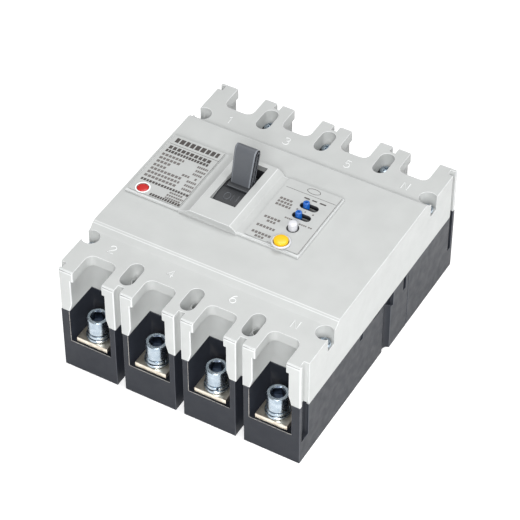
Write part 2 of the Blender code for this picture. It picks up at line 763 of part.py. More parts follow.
def make_trip_unit(name, x, finish):
    """The magnetic yoke that straddles the load bar."""
    outer, inner = 0.0122, 0.0098
    foot, top = BASE_FLOOR_Z + GAP, 0.0300
    outline = [(-outer, foot), (-outer, top), (outer, top), (outer, foot)]
    outline += [(inner, foot), (inner, top - 0.0035), (-inner, top - 0.0035), (-inner, foot)]
    shape = bmesh.new()
    add_prism(shape, [(x + a, b) for a, b in outline], -0.0400, -0.0320, axis="Y")
    return finished(name, shape, finish)


def make_trip_bar(finish):
    """The common trip shaft with one finger over each pole."""
    place_y, place_z, radius = -0.0330, 0.0460, 0.0025
    shape = bmesh.new()
    add_rod(shape, (0, 0), radius, -0.0660, 0.0660, axis="X", segments=12)
    bar = finished("trip_bar", shape, finish, smooth=True)
    shape = bmesh.new()
    for x in POLE_X:
        add_block(shape, (x - 0.003, x + 0.003), (-0.0010, 0.0010), (-0.0120, 0.0005))
    fingers = finished("tool_trip_fingers", shape)
    for made in (bar, fingers):
        on_axis(made, (0, place_y, place_z))
    combine(bar, fingers, "UNION")
    return bar


# ---------------------------------------------------------------- residual-current module


def make_transformer(finish):
    """The summation transformer: one flat ring around all four load bars."""
    outline = round_slot((-0.0662, 0.0662), (0.0090, 0.0340), 6)
    hole = round_slot((-0.0632, 0.0632), (0.0120, 0.0310), 6)
    shape = bmesh.new()
    add_prism(shape, outline, -0.0280, -0.0200, axis="Y")
    ring = finished("summation_transformer", shape, finish)
    shape = bmesh.new()
    add_prism(shape, hole, -0.0290, -0.0190, axis="Y")
    combine(ring, finished("cutter_transformer", shape))
    return ring


def make_circuit_board(finish):
    shape = bmesh.new()
    add_block(shape, (0.0040, 0.0660), (-0.0280, 0.0300), (0.0580, 0.0596))
    return finished("circuit_board", shape, finish)


def make_solenoid(finish):
    """The trip solenoid: a wound body with its plunger pointing down at the trip bar."""
    shape = bmesh.new()
    add_block(shape, (0.0360, 0.0540), (-0.0453, -0.0362), (0.0480, 0.0575))
    return finished("trip_solenoid", shape, finish)


# ---------------------------------------------------------------- controls


def make_button(name, place, radius, flange, top_z, dome, finish):
    """A push button with a flange under the cover's roof that stops it coming out."""
    roof = COVER_ROOF_Z - GAP
    profile = [(0, roof - 0.0040), (radius * 0.6, roof - 0.0040), (radius * 0.6, roof - 0.0015)]
    profile += [(flange, roof - 0.0015), (flange, roof), (radius, roof)]
    profile += [(radius, top_z - dome), (radius * 0.72, top_z - dome * 0.3), (0, top_z)]
    shape = bmesh.new()
    centred = [(r, z - top_z) for r, z in profile]
    add_turned(shape, (0, 0), centred, segments=16)
    button = finished(name, shape, finish, smooth=True)
    button.location = (*place, top_z)
    return button


def make_collar(finish):
    """The low ring around the test button."""
    shape = bmesh.new()
    low, high = PLATE_TOP_Z + GAP, PLATE_TOP_Z + GAP + 0.0010
    add_rod(shape, TEST_BUTTON_XY, 0.0051, low, high)
    collar = finished("test_button_collar", shape, finish, smooth=True)
    shape = bmesh.new()
    add_rod(shape, TEST_BUTTON_XY, 0.0041, low - 0.001, high + 0.001)
    combine(collar, finished("cutter_collar", shape))
    return collar


def make_knob(name, y, finish):
    """A selector pin on a slide plate that rides under the roof."""
    roof = COVER_ROOF_Z - GAP
    top = 0.0769
    profile = [(0, roof - 0.0005), (0.0018, roof - 0.0005), (0.0018, top - 0.0004)]
    profile += [(0.0013, top), (0, top)]
    shape = bmesh.new()
    add_turned(shape, (0, 0), profile, segments=16)
    knob = finished(name, shape, finish, smooth=True)
    shape = bmesh.new()
    add_block(shape, (-0.0048, 0.0048), (-0.0032, 0.0032), (roof - 0.0015, roof))
    plate = finished("tool_" + name, shape)
    for made in (knob, plate):
        made.location = (KNOB_X, y, 0)
    combine(knob, plate, "UNION")
    return knob


# ---------------------------------------------------------------- assembly


def build():
    clear_scene()
    dark_case = make_finish("dark_case", (0.145, 0.150, 0.165), 0.55)
    light_case = make_finish("light_case", (0.700, 0.715, 0.705), 0.45)
    paper = make_finish("printed_label", (0.730, 0.735, 0.725), 0.50)
    grip = make_finish("grip_plastic", (0.145, 0.150, 0.165), 0.50)
    shade = make_finish("shutter_plastic", (0.058, 0.063, 0.069), 0.55)
    tinned = make_finish("tinned_copper", (0.560, 0.520, 0.450), 0.35, 1.0)
    zinc = make_finish("zinc_steel", (0.480, 0.560, 0.620), 0.28, 1.0)
    frame_steel = make_finish("frame_steel", (0.450, 0.450, 0.460), 0.40, 1.0)
    copper = make_finish("copper", (0.640, 0.300, 0.170), 0.35, 1.0)
    core = make_finish("core_iron", (0.230, 0.230, 0.240), 0.50, 1.0)
    mechanism_plastic = make_finish("mechanism_plastic", (0.050, 0.050, 0.055), 0.60)
    coil_cover = make_finish("coil_cover", (0.080, 0.110, 0.250), 0.50)
    board = make_finish("board_laminate", (0.020, 0.180, 0.070), 0.45)
    red = make_finish("red_plastic", (0.510, 0.008, 0.008), 0.40)
    yellow = make_finish("yellow_plastic", (0.900, 0.620, 0.005), 0.40)
    white = make_finish("white_plastic", (0.850, 0.850, 0.860), 0.35)
    blue = make_finish("blue_plastic", (0.010, 0.100, 0.420), 0.40)

    make_base(dark_case)
    make_cover(light_case)
    plate_holes = control_cutter("cutter_plate_controls", 0.0730, 0.0750, 0.0003)
    make_plate("nameplate", (-0.0672, -0.0367), (-0.0195, 0.0275), paper, plate_holes)
    make_plate("residual_current_plate", (0.0013, 0.0325), (-0.0193, 0.0278), paper, plate_holes)

    for end_name, end in ENDS.items():
        for number, x in enumerate(POLE_X, start=1):
            make_terminal(f"{end_name}_terminal_{number}", x, end, tinned)
            make_terminal_bolt(f"{end_name}_terminal_bolt_{number}", (x, end * BOLT_Y), zinc)
    for number, place in enumerate(slot_screw_places(), start=1):
        make_cover_screw(f"slot_screw_{number}", place, SLOT_FLOOR_Z, zinc)
    for number, place in enumerate(pocket_screw_places(), start=1):
        make_cover_screw(f"corner_screw_{number}", place, POCKET_FLOOR_Z, zinc)

    make_handle(grip)
    make_shutter(shade)
    make_yoke(frame_steel)
    make_mechanism_frame(frame_steel)
    make_crossbar(mechanism_plastic)
    for number, x in enumerate(POLE_X, start=1):
        make_moving_contact(f"moving_contact_{number}", x, copper)
        make_arc_chute(f"arc_chute_{number}", x, core)
        make_trip_unit(f"trip_unit_{number}", x, core)
    make_trip_bar(mechanism_plastic)

    make_transformer(coil_cover)
    make_circuit_board(board)
    make_solenoid(coil_cover)

    make_button("trip_button", TRIP_BUTTON_XY, 0.0031, 0.0042, 0.0744, 0.0004, red)
    make_button("test_button", TEST_BUTTON_XY, 0.0038, 0.0049, 0.0769, 0.0008, yellow)
    make_button("reset_button", RESET_BUTTON_XY, 0.0026, 0.0042, 0.0784, 0.0018, white)
    make_collar(white)
    for number, y in enumerate(KNOB_Y, start=1):
        make_knob(f"selector_knob_{number}", y, blue)


build()
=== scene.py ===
"""The looks of the molded case breaker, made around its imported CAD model.

Lengths are in metres. Every place comes from the CAD nodes' boxes and joints, or from a size named here.
"""

import json
import math
import random

import bmesh
import bpy
from mathutils import Matrix, Vector


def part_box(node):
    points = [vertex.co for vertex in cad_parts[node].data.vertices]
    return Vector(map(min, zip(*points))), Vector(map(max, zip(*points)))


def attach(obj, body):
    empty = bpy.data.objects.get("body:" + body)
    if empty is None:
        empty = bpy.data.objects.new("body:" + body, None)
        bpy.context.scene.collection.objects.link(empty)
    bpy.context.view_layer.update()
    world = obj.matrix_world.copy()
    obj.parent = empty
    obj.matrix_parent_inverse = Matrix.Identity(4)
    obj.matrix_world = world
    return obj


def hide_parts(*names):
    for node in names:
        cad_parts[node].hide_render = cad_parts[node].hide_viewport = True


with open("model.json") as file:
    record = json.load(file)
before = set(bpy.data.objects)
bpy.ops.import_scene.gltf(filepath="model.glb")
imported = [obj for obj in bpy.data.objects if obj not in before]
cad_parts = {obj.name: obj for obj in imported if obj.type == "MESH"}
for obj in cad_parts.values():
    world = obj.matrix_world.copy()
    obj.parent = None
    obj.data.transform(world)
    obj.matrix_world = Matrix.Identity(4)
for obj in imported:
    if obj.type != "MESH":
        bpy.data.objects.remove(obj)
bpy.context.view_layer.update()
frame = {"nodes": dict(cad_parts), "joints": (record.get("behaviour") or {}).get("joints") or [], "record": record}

MM = 0.001
POLES = (1, 2, 3, 4)
ENDS = {"load": -1, "line": 1}
random.seed(7)

# Camera: turned to the right of the front and raised, with a long lens.
CAMERA_TURN = math.radians(29.85)
CAMERA_RISE = math.radians(44.29)
CAMERA_DISTANCE = 1.22126
CAMERA_SIDE = -0.00045
CAMERA_LIFT = 0.02731
CAMERA_LENS = 159.41

# Edge rounding of the two housing shells.
SHELL_MERGE = 1e-6
SHELL_FLAT = math.radians(0.5)
SHELL_SHARP = math.radians(40)
SHELL_SHALLOW = math.radians(17)
SHELL_ROUNDING = 0.9 * MM
SEAM_EDGE = 0.15 * MM
END_EDGE = 0.6 * MM
COVER_EDGE = 0.22 * MM
BASE_EDGE = 0.2 * MM
DECK_Z = 68.5 * MM
SEAM_Z = 40.4 * MM
END_FACE_Y = 82 * MM
NOSE_FOOT_Z = DECK_Z + 1.5 * MM

# Terminal bolt, from its top downward.
HEAD_RADIUS = 5.8 * MM
HEAD_HEIGHT = 9.4 * MM
HEX_HALF = 3.3 * MM
HEX_DEPTH = 5.0 * MM
SHANK_RADIUS = 3.0 * MM
SPRING_RADII = (3.2 * MM, 6.2 * MM)
SPRING_HEIGHT = 2.4 * MM
FLAT_RADII = (3.2 * MM, 6.7 * MM)
FLAT_HEIGHT = 1.5 * MM

# Cover screws, and the dark ring painted as shade round each one in a slot.
SCREW_HEAD_HEIGHT = 2.6 * MM
SLOT_SCREWS = 6
CORNER_SCREWS = 4
SHADE_RING_REACH = (0.05 * MM, 1.3 * MM)
SHADE_RING_HEIGHT = 0.3 * MM

# Handle and shutter, in the frame that leans with the handle, its origin on the pivot.
# Outlines are (y, height) in millimetres.
HANDLE_LEAN = math.radians(11)
BLADE_OUTLINE = (
    (-3.5, 31.0), (-3.1, 40.0), (-1.4, 58.6), (-1.15, 59.9), (-0.6, 61.0), (0.3, 61.8), (1.4, 62.1),
    (2.6, 61.8), (3.6, 60.9), (4.2, 59.6), (4.5, 57.8), (2.8, 40.0), (2.4, 31.0),
)
BLADE_TIP = 58.5 * MM
BLADE_HALF_X = (5.3, 6.2)
BLADE_ROUNDING = 1.0 * MM
GROOVE_SHARP = math.radians(40)
PLINTH_OUTLINE = ((-5.3, 39.1), (-5.3, 40.0), (-3.6, 41.0), (2.8, 41.0), (4.2, 39.8), (4.2, 39.1))
PLINTH_HALF_X = 6.3
# Painted shade: dark strips in the gaps beside the plinth, from and to along X in millimetres.
GAP_SHADE_STRIPS = ((-8.1, -6.4), (6.4, 7.0))
SHUTTER_RADII = (37.5 * MM, 38.9 * MM)
SHUTTER_SWEEP = (math.radians(-31), math.radians(43))
WORD_LEAN = {"ON": math.radians(-16.0), "OFF": math.radians(18)}
WORD_SHIFT = -0.6 * MM
WORD_HEIGHT = 4.6 * MM

# Raised pole marks: each end's marks, their places along X and their distance from the middle.
POLE_MARKS = {
    "load": (("2", -52.8), ("4", -18.4), ("6", 17.6), ("N", 52.5)),
    "line": (("1", -52.5), ("3", -17.4), ("5", 19.0), ("N", 53.2)),
}
MARK_Y = 57.6 * MM
MARK_HEIGHT = 5.3 * MM
MARK_STROKE = 0.20 * MM
MARK_LIFT = 0.08 * MM

# Pale lines round the terminal windows: mould flash, and a painted highlight on the lit edges.
WINDOW_HALF_X = 12.0
WINDOW_FLOOR_Z = 19.1
WINDOW_TOP_Z = 40.0
FLASH_AND_HIGHLIGHT_WIDTH = 0.28

# Controls: radius and crown of each button, and how far it reaches below the label.
BUTTONS = {"trip_button": (3.1, 0.5), "test_button": (3.8, 0.8), "reset_button": (2.45, 1.0)}
BUTTON_FOOT = 2.4 * MM
# The raised ring round the trip button is near white: a painted highlight.
TRIP_RING = (3.35 * MM, 4.0 * MM)
TRIP_RING_HEIGHT = 0.25 * MM
COLLAR_RADII = (4.05 * MM, 5.1 * MM)
COLLAR_EDGE = 0.4 * MM
# The black ring round the reset button is painted shade of its gap.
RESET_SHADE_RING = (2.75 * MM, 3.3 * MM)
RESET_SHADE_RING_HEIGHT = 0.04 * MM
KNOB_RADIUS = 1.75 * MM
KNOB_SOCKET = 0.6 * MM


# ---------------------------------------------------------------- materials


def screen(red, green, blue):
    """A screen colour of 0 to 255 as linear light."""
    parts = []
    for value in (red, green, blue):
        share = value / 255
        parts.append(share / 12.92 if share <= 0.04045 else ((share + 0.055) / 1.055) ** 2.4)
    return (*parts, 1.0)


def shade(colour, amount):
    """The same colour, lighter or darker."""
    return (*(min(1.0, part * amount) for part in colour[:3]), 1.0)


class Recipe:
    """A material under construction: each call adds a node and gives back its output."""

    def __init__(self, name, metallic=0.0, coat=0.0):
        self.material = bpy.data.materials.new(name)
        self.material.use_nodes = True
        self.tree = self.material.node_tree
        self.shader = self.tree.nodes["Principled BSDF"]
        self.shader.inputs["Metallic"].default_value = metallic
        self.shader.inputs["Coat Weight"].default_value = coat
        self.place = self.node("ShaderNodeTexCoord").outputs["Object"]

    def node(self, kind, inputs=None, **settings):
        made = self.tree.nodes.new(kind)
        for name, value in settings.items():
            setattr(made, name, value)
        for socket, value in (inputs or {}).items():
            self.feed(made.inputs[socket], value)
        return made

    def feed(self, socket, value):
        if isinstance(value, bpy.types.NodeSocket):
            self.tree.links.new(value, socket)
        else:
            socket.default_value = value

    def scaled(self, cell, stretch):
        scale = tuple(part / cell for part in stretch)
        return self.node("ShaderNodeMapping", {"Vector": self.place, "Scale": scale}).outputs["Vector"]

    def noise(self, cell, detail=2.0, stretch=(1, 1, 1)):
        """Cloudy noise whose patches are about one cell across."""
        place = self.scaled(cell, stretch)
        inputs = {"Vector": place, "Scale": 1.0, "Detail": detail}
        return self.node("ShaderNodeTexNoise", inputs).outputs["Fac"]

    def grains(self, cell):
        """Rounded grains about one cell across."""
        place = self.scaled(cell, (1, 1, 1))
        return self.node("ShaderNodeTexVoronoi", {"Vector": place, "Scale": 1.0}).outputs["Distance"]

    def spread(self, value, start, end, low, high):
        """The value's stretch from start to end, moved to run from low to high."""
        inputs = {"Value": value, "From Min": start, "From Max": end, "To Min": low, "To Max": high}
        return self.node("ShaderNodeMapRange", inputs, clamp=True).outputs["Result"]

    def blend(self, share, first, second):
        """first where share is 0, second where it is 1."""
        inputs = {"Factor": share, 6: first, 7: second}
        return self.node("ShaderNodeMix", inputs, data_type="RGBA").outputs[2]

    def bump(self, height, depth, under=None):
        inputs = {"Height": height, "Distance": depth, "Strength": 1.0}
        if under is not None:
            inputs["Normal"] = under
        return self.node("ShaderNodeBump", inputs).outputs["Normal"]

    def done(self, colour, roughness, normal):
        self.feed(self.shader.inputs["Base Color"], colour)
        self.feed(self.shader.inputs["Roughness"], roughness)
        self.feed(self.shader.inputs["Normal"], normal)
        return self.material


def plastic(name, colour, roughness, grain=0.35 * MM, relief=0.006 * MM, wear=0.25, gloss=0.0,
            shine=0.5):
    """Moulded plastic: cloudy tint, fine spark-eroded grain, faint rubbed streaks and dust specks."""
    mix = Recipe(name, coat=gloss)
    mix.shader.inputs["Specular IOR Level"].default_value = shine
    cloud = mix.spread(mix.noise(14 * MM, 4.0), 0.3, 0.7, 0.0, 1.0)
    tint = mix.blend(cloud, shade(colour, 0.965), shade(colour, 1.03))
    streaks = mix.spread(mix.noise(1.2 * MM, 3.0, stretch=(0.12, 1.0, 0.6)), 0.62, 0.78, 0.0, wear)
    rubbed = mix.blend(streaks, tint, shade(colour, 1.12))
    specks = mix.spread(mix.noise(0.5 * MM, 1.0), 0.74, 0.80, 0.0, wear)
    dusty = mix.blend(specks, rubbed, shade(colour, 0.72))
    patchy = mix.spread(mix.noise(5 * MM, 3.0), 0.3, 0.7, roughness - 0.05, roughness + 0.06)
    pits = mix.bump(mix.grains(grain), relief)
    waves = mix.bump(mix.noise(9 * MM, 1.0), 0.03 * MM, under=pits)
    return mix.done(dusty, patchy, waves)


def plated(name, colour, stain, roughness, brushed=(1, 1, 1), relief=0.0003 * MM):
    """Plated metal: soft stains, faint scratches and tiny pits."""
    mix = Recipe(name, metallic=1.0)
    cloud = mix.spread(mix.noise(3.5 * MM, 5.0), 0.35, 0.7, 0.0, 1.0)
    tint = mix.blend(cloud, colour, stain)
    scratches = mix.noise(0.25 * MM, 3.0, stretch=brushed)
    marked = mix.blend(mix.spread(scratches, 0.62, 0.72, 0.0, 0.12), tint, shade(colour, 0.6))
    rough = mix.spread(mix.noise(1.5 * MM, 4.0), 0.3, 0.7, roughness - 0.05, roughness + 0.07)
    normal = mix.bump(scratches, relief)
    return mix.done(marked, rough, mix.bump(mix.grains(0.6 * MM), relief, under=normal))


def print_film(name, colour, roughness):
    """A printed aluminium or film label: fine horizontal roll lines and faint mottling."""
    mix = Recipe(name)
    cloud = mix.spread(mix.noise(8 * MM, 4.0), 0.3, 0.7, 0.0, 1.0)
    tint = mix.blend(cloud, shade(colour, 0.97), shade(colour, 1.025))
    lines = mix.noise(0.2 * MM, 2.0, stretch=(0.05, 1.0, 1.0))
    rolled = mix.blend(mix.spread(lines, 0.4, 0.7, 0.0, 0.3), tint, shade(colour, 0.93))
    rough = mix.spread(mix.noise(2 * MM, 3.0), 0.3, 0.7, roughness - 0.05, roughness + 0.08)
    return mix.done(rolled, rough, mix.bump(lines, 0.002 * MM))


def ink(name, colour):
    """Screen-printed ink: slightly uneven cover and a dull surface."""
    mix = Recipe(name)
    cover = mix.spread(mix.noise(0.35 * MM, 3.0), 0.35, 0.65, 0.0, 1.0)
    tint = mix.blend(cover, colour, shade(colour, 1.35))
    rough = mix.spread(mix.noise(0.8 * MM, 2.0), 0.3, 0.7, 0.45, 0.62)
    return mix.done(tint, rough, mix.bump(mix.noise(0.12 * MM, 2.0), 0.002 * MM))


def laminate(name, colour):
    """Woven glass board with a green mask."""
    mix = Recipe(name, coat=0.3)
    weave = mix.node("ShaderNodeTexWave", {"Vector": mix.scaled(1.6 * MM, (1, 1, 1)), "Distortion": 1.0})
    tint = mix.blend(weave.outputs["Fac"], shade(colour, 0.85), shade(colour, 1.15))
    rough = mix.spread(mix.noise(3 * MM, 2.0), 0.3, 0.7, 0.3, 0.45)
    return mix.done(tint, rough, mix.bump(weave.outputs["Fac"], 0.01 * MM))


BUTTON_GRAIN = 0.25 * MM

MATERIALS = {
    "dark_case": plastic("dark_case", screen(35, 38, 45), 0.46, wear=0.12, shine=0.22),
    "light_case": plastic("light_case", screen(181, 183, 182), 0.42, wear=0.10, shine=0.3),
    # Painted highlight: a lighter copy of light_case for the cover's rounded edges.
    "light_case_rim_highlight": plastic("light_case_rim_highlight", screen(204, 206, 206), 0.32, wear=0.05),
    "mark_white": plastic("mark_white", screen(228, 230, 230), 0.36, wear=0.05),
    # Painted highlight: a lighter copy of dark_case for the base's rounded edges.
    "dark_case_rim_highlight": plastic("dark_case_rim_highlight", screen(62, 66, 74), 0.40, wear=0.2),
    # Painted highlight: a lighter copy of grip_plastic for the handle's rounded edges.
    "grip_rim_highlight": plastic("grip_rim_highlight", screen(118, 122, 128), 0.34, wear=0.1),
    "printed_label": print_film("printed_label", screen(178, 180, 179), 0.42),
    "grip_plastic": plastic("grip_plastic", screen(84, 87, 92), 0.38, wear=0.12),
    "shutter_plastic": plastic("shutter_plastic", screen(46, 48, 51), 0.44, wear=0.12),
    "tinned_copper": plated("tinned_copper", screen(240, 232, 217), screen(216, 205, 188), 0.36,
                            brushed=(0.08, 1, 1)),
    "zinc_steel": plated("zinc_steel", screen(184, 195, 204), screen(152, 166, 178), 0.25),
    # Painted shade: a darker steel for the inside of the bolt sockets.
    "socket_shade_steel": plated("socket_shade_steel", screen(92, 102, 116), screen(60, 68, 80), 0.35),
    "frame_steel": plated("frame_steel", screen(150, 152, 154), screen(112, 112, 112), 0.4),
    "copper": plated("copper", screen(205, 120, 80), screen(150, 84, 56), 0.35),
    "core_iron": plated("core_iron", screen(120, 118, 116), screen(80, 78, 76), 0.5),
    "mechanism_plastic": plastic("mechanism_plastic", screen(40, 40, 44), 0.5),
    "coil_cover": plastic("coil_cover", screen(150, 120, 60), 0.5),
    "board_laminate": laminate("board_laminate", screen(20, 90, 50)),
    "red_plastic": plastic("red_plastic", screen(182, 22, 20), 0.30, grain=BUTTON_GRAIN,
                             wear=0.08, gloss=0.25),
    "yellow_plastic": plastic("yellow_plastic", screen(232, 186, 6), 0.28, grain=BUTTON_GRAIN,
                             wear=0.06, gloss=0.3),
    "white_plastic": plastic("white_plastic", screen(204, 205, 210), 0.30, grain=BUTTON_GRAIN,
                             wear=0.05, gloss=0.3),
    "blue_plastic": plastic("blue_plastic", screen(24, 92, 176), 0.32, grain=BUTTON_GRAIN,
                             wear=0.08, gloss=0.2),
    "bold_ink": ink("bold_ink", screen(62, 58, 56)),
    "fine_ink": ink("fine_ink", screen(98, 94, 92)),
    # Black ink for the selector outlines, and painted shade for the reset button's ring and the selector slot
    # walls.
    "black_ink_and_shade": ink("black_ink_and_shade", screen(24, 24, 28)),
    # Painted highlight: near white for the ring round the trip button.
    "trip_ring_highlight": plastic("trip_ring_highlight", screen(246, 247, 247), 0.36, wear=0.03),
    # Mould flash, and a painted highlight on the lit window edges.
    "flash_and_edge_highlight": plastic("flash_and_edge_highlight", screen(176, 172, 166), 0.5, wear=0.3),
}


# ---------------------------------------------------------------- shapes


def piece(name, shape, finish, body, smooth=True):
    """A shown object made from a bmesh, riding on a CAD body."""
    bmesh.ops.recalc_face_normals(shape, faces=shape.faces)
    mesh = bpy.data.meshes.new(name)
    shape.to_mesh(mesh)
    shape.free()
    for polygon in mesh.polygons:
        polygon.use_smooth = smooth
    return show(name, mesh, finish, body)


def show(name, mesh, finish, body, place=None):
    """Puts a mesh or text in the scene with its finish and body."""
    made = bpy.data.objects.new(name, mesh)
    bpy.context.scene.collection.objects.link(made)
    if not mesh.materials:
        mesh.materials.append(MATERIALS[finish])
    if place is not None:
        made.matrix_world = place
    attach(made, body)
    return made


def soften(made, width, segments=2, angle=35):
    """Rounds an object's sharp edges without touching its flat faces."""
    bevel = made.modifiers.new("round_edges", "BEVEL")
    bevel.width = width
    bevel.segments = segments
    bevel.limit_method = "ANGLE"
    bevel.angle_limit = math.radians(angle)
    made.modifiers.new("even_normals", "WEIGHTED_NORMAL")
    return made


def turn(shape, centre, profile, segments=48, hexagons=(), closed=False):
    """Turns a profile of (radius, height) about an upright axis. Rows in hexagons have six flats."""
    rows = []
    for index, (radius, height) in enumerate(profile):
        if radius == 0:
            rows.append([shape.verts.new(centre + Vector((0, 0, height)))])
            continue
        row = []
        for step in range(segments):
            angle = 2 * math.pi * step / segments
            reach = radius
            if index in hexagons:
                reach = radius / math.cos((angle + math.pi / 6) % (math.pi / 3) - math.pi / 6)
            spot = Vector((reach * math.cos(angle), reach * math.sin(angle), height))
            row.append(shape.verts.new(centre + spot))
        rows.append(row)
    pairs = list(zip(rows, rows[1:]))
    if closed:
        pairs.append((rows[-1], rows[0]))
    for lower, upper in pairs:
        for step in range(segments):
            after = (step + 1) % segments
            corners = [lower[step % len(lower)], lower[after % len(lower)]]
            corners += [upper[after % len(upper)], upper[step % len(upper)]]
            shape.faces.new(list(dict.fromkeys(corners)))


def ring_profile(inner, outer, low, high, edge):
    """The cross-section of a flat ring with eased edges, for a closed turn."""
    return [
        (inner, low + edge), (inner + edge, low), (outer - edge, low), (outer, low + edge),
        (outer, high - edge), (outer - edge, high), (inner + edge, high), (inner, high - edge),
    ]


def slab(shape, low, high):
    """A box from its lowest to its highest corner."""
    corners = []
    for z in (low[2], high[2]):
        for x, y in ((low[0], low[1]), (high[0], low[1]), (high[0], high[1]), (low[0], high[1])):
            corners.append(shape.verts.new((x, y, z)))
    for picks in ((3, 2, 1, 0), (4, 5, 6, 7), (0, 1, 5, 4), (1, 2, 6, 5), (2, 3, 7, 6), (3, 0, 4, 7)):
        shape.faces.new([corners[pick] for pick in picks])


def obround(left, right, y, radius, steps=12):
    """Points round a slot with half-round ends that runs along X."""
    points = []
    for centre, start in ((right, -90), (left, 90)):
        for step in range(steps + 1):
            angle = math.radians(start + 180 * step / steps)
            points.append((centre + radius * math.cos(angle), y + radius * math.sin(angle)))
    return points


def band(shape, inner, outer, low, high):
    """A closed band between two outlines with the same number of points."""
    rows = []
    for outline, height in ((inner, low), (outer, low), (outer, high), (inner, high)):
        rows.append([shape.verts.new((x, y, height)) for x, y in outline])
    for index in range(4):
        near, far = rows[index], rows[(index + 1) % 4]
        for step in range(len(near)):
            after = (step + 1) % len(near)
            shape.faces.new((near[step], near[after], far[after], far[step]))


def carved(name, shape, cutters):
    """The mesh of a shape with other shapes cut out of it."""
    made = []
    for form in (shape, *cutters):
        bmesh.ops.recalc_face_normals(form, faces=form.faces)
        mesh = bpy.data.meshes.new(name)
        form.to_mesh(mesh)
        form.free()
        thing = bpy.data.objects.new(name, mesh)
        bpy.context.scene.collection.objects.link(thing)
        made.append(thing)
    for cutter in made[1:]:
        cut = made[0].modifiers.new("cut", "BOOLEAN")
        cut.operation = "DIFFERENCE"
        cut.solver = "EXACT"
        cut.object = cutter
    graph = bpy.context.evaluated_depsgraph_get()
    result = bpy.data.meshes.new_from_object(made[0].evaluated_get(graph))
    result.name = name
    for thing in made:
        bpy.data.objects.remove(thing)
    for polygon in result.polygons:
        polygon.use_smooth = True
    return result


def middle(low, high, z=0.0):
    """The middle of a box in plan, at height z."""
    return Vector(((low.x + high.x) / 2, (low.y + high.y) / 2, z))


# ---------------------------------------------------------------- housing


# Painted highlight: the rounding faces of a shell take a lighter colour than its flats.
RIM_HIGHLIGHT_FINISH = {"light_case": "light_case_rim_highlight", "dark_case": "dark_case_rim_highlight"}


def cover_radius(edge):
    """How round an edge of the cover is."""
    start, end = (vert.co for vert in edge.verts)
    if max(start.z, end.z) < SEAM_Z + 1 * MM:
        return SEAM_EDGE
    if min(abs(start.y), abs(end.y)) > END_FACE_Y:
        return END_EDGE
    return COVER_EDGE


def base_radius(_edge):
    """How round an edge of the base or of a bar is: the same for all."""
    return BASE_EDGE


def sharp_limit(edge):
    """The least turn that counts as an edge: smaller straight across the breaker and on its nose."""
    start, end = (vert.co for vert in edge.verts)
    straight = abs(end.x - start.x) > 0.99 * (end - start).length
    on_nose = min(start.z, end.z) > NOSE_FOOT_Z
    return SHELL_SHALLOW if straight or on_nose else SHELL_SHARP


def rounded_shell(node, name, radius_of):
    """Stands for a housing node: the same shell with flat faces merged and every sharp edge rounded."""
    source = frame["nodes"][node].data
    raw = bpy.data.meshes.new("raw")
    raw.from_pydata([v.co.copy() for v in source.vertices], [], [list(p.vertices) for p in source.polygons])
    shape = bmesh.new()
    shape.from_mesh(raw)
    bpy.data.meshes.remove(raw)
    bmesh.ops.remove_doubles(shape, verts=shape.verts, dist=SHELL_MERGE)
    bmesh.ops.dissolve_limit(shape, angle_limit=SHELL_FLAT, verts=shape.verts, edges=shape.edges,
                             delimit={"NORMAL"})
    bmesh.ops.recalc_face_normals(shape, faces=shape.faces)
    weights = shape.edges.layers.float.new("bevel_weight_edge")
    for edge in shape.edges:
        if len(edge.link_faces) == 2 and edge.calc_face_angle_signed() > sharp_limit(edge):
            edge[weights] = radius_of(edge) / SHELL_ROUNDING
    finish = MATERIAL_OF[node]
    made = piece(name, shape, finish, BODY_OF[node])
    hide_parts(node)
    rim_highlight = RIM_HIGHLIGHT_FINISH.get(finish)
    bevel = made.modifiers.new("round_edges", "BEVEL")
    bevel.limit_method = "WEIGHT"
    bevel.width = SHELL_ROUNDING
    bevel.use_clamp_overlap = False
    bevel.segments = 3
    # The rounding faces get the painted highlight colour in slot 1.
    if rim_highlight:
        made.data.materials.append(MATERIALS[rim_highlight])
        bevel.material = 1
    made.modifiers.new("even_normals", "WEIGHTED_NORMAL")
    return made


def mounting_eyelets():
    """The low collar round each mounting hole at the bottom of its slot."""
    for end, side in ENDS.items():
        for number, x in enumerate(GAP_X, 1):
            shape = bmesh.new()
            centre = Vector((x, side * 63 * MM, 58.5 * MM))
            turn(shape, centre, ring_profile(2.8 * MM, 3.6 * MM, 0.0, 0.5 * MM, 0.15 * MM), closed=True)
            piece(f"{end}_mounting_eyelet_{number}", shape, "light_case", "housing")


def bend(centre, radii, start, stop, steps=10):
    """Points along part of an ellipse, angles in degrees."""
    points = []
    for step in range(steps + 1):
        angle = math.radians(start + (stop - start) * step / steps)
        points.append((centre[0] + radii[0] * math.cos(angle), centre[1] + radii[1] * math.sin(angle)))
    return points


# The strokes of each mark, one unit high.
GLYPHS = {
    "1": [[(0.10, 0.76), (0.32, 1.0), (0.32, 0.0)]],
    "2": [bend((0.30, 0.72), (0.30, 0.28), 170, -25) + [(0.0, 0.0), (0.64, 0.0)]],
    "3": [bend((0.28, 0.76), (0.28, 0.24), 150, -90) + bend((0.28, 0.27), (0.32, 0.27), 90, -150)],
    "4": [[(0.48, 0.0), (0.48, 1.0), (0.0, 0.28), (0.64, 0.28)]],
    "5": [[(0.56, 1.0), (0.10, 1.0), (0.06, 0.55)] + bend((0.28, 0.32), (0.32, 0.32), 120, -140)],
    "6": [bend((0.52, 0.30), (0.50, 0.70), 100, 180) + bend((0.31, 0.30), (0.30, 0.30), 180, 540, 20)],
    "N": [[(0.0, 0.0), (0.0, 1.0), (0.62, 0.0), (0.62, 1.0)]],
    "O": [bend((0.36, 0.5), (0.36, 0.5), 0, 360, 24)],
    "F": [[(0.0, 0.0), (0.0, 1.0), (0.52, 1.0)], [(0.0, 0.54), (0.44, 0.54)]],
}


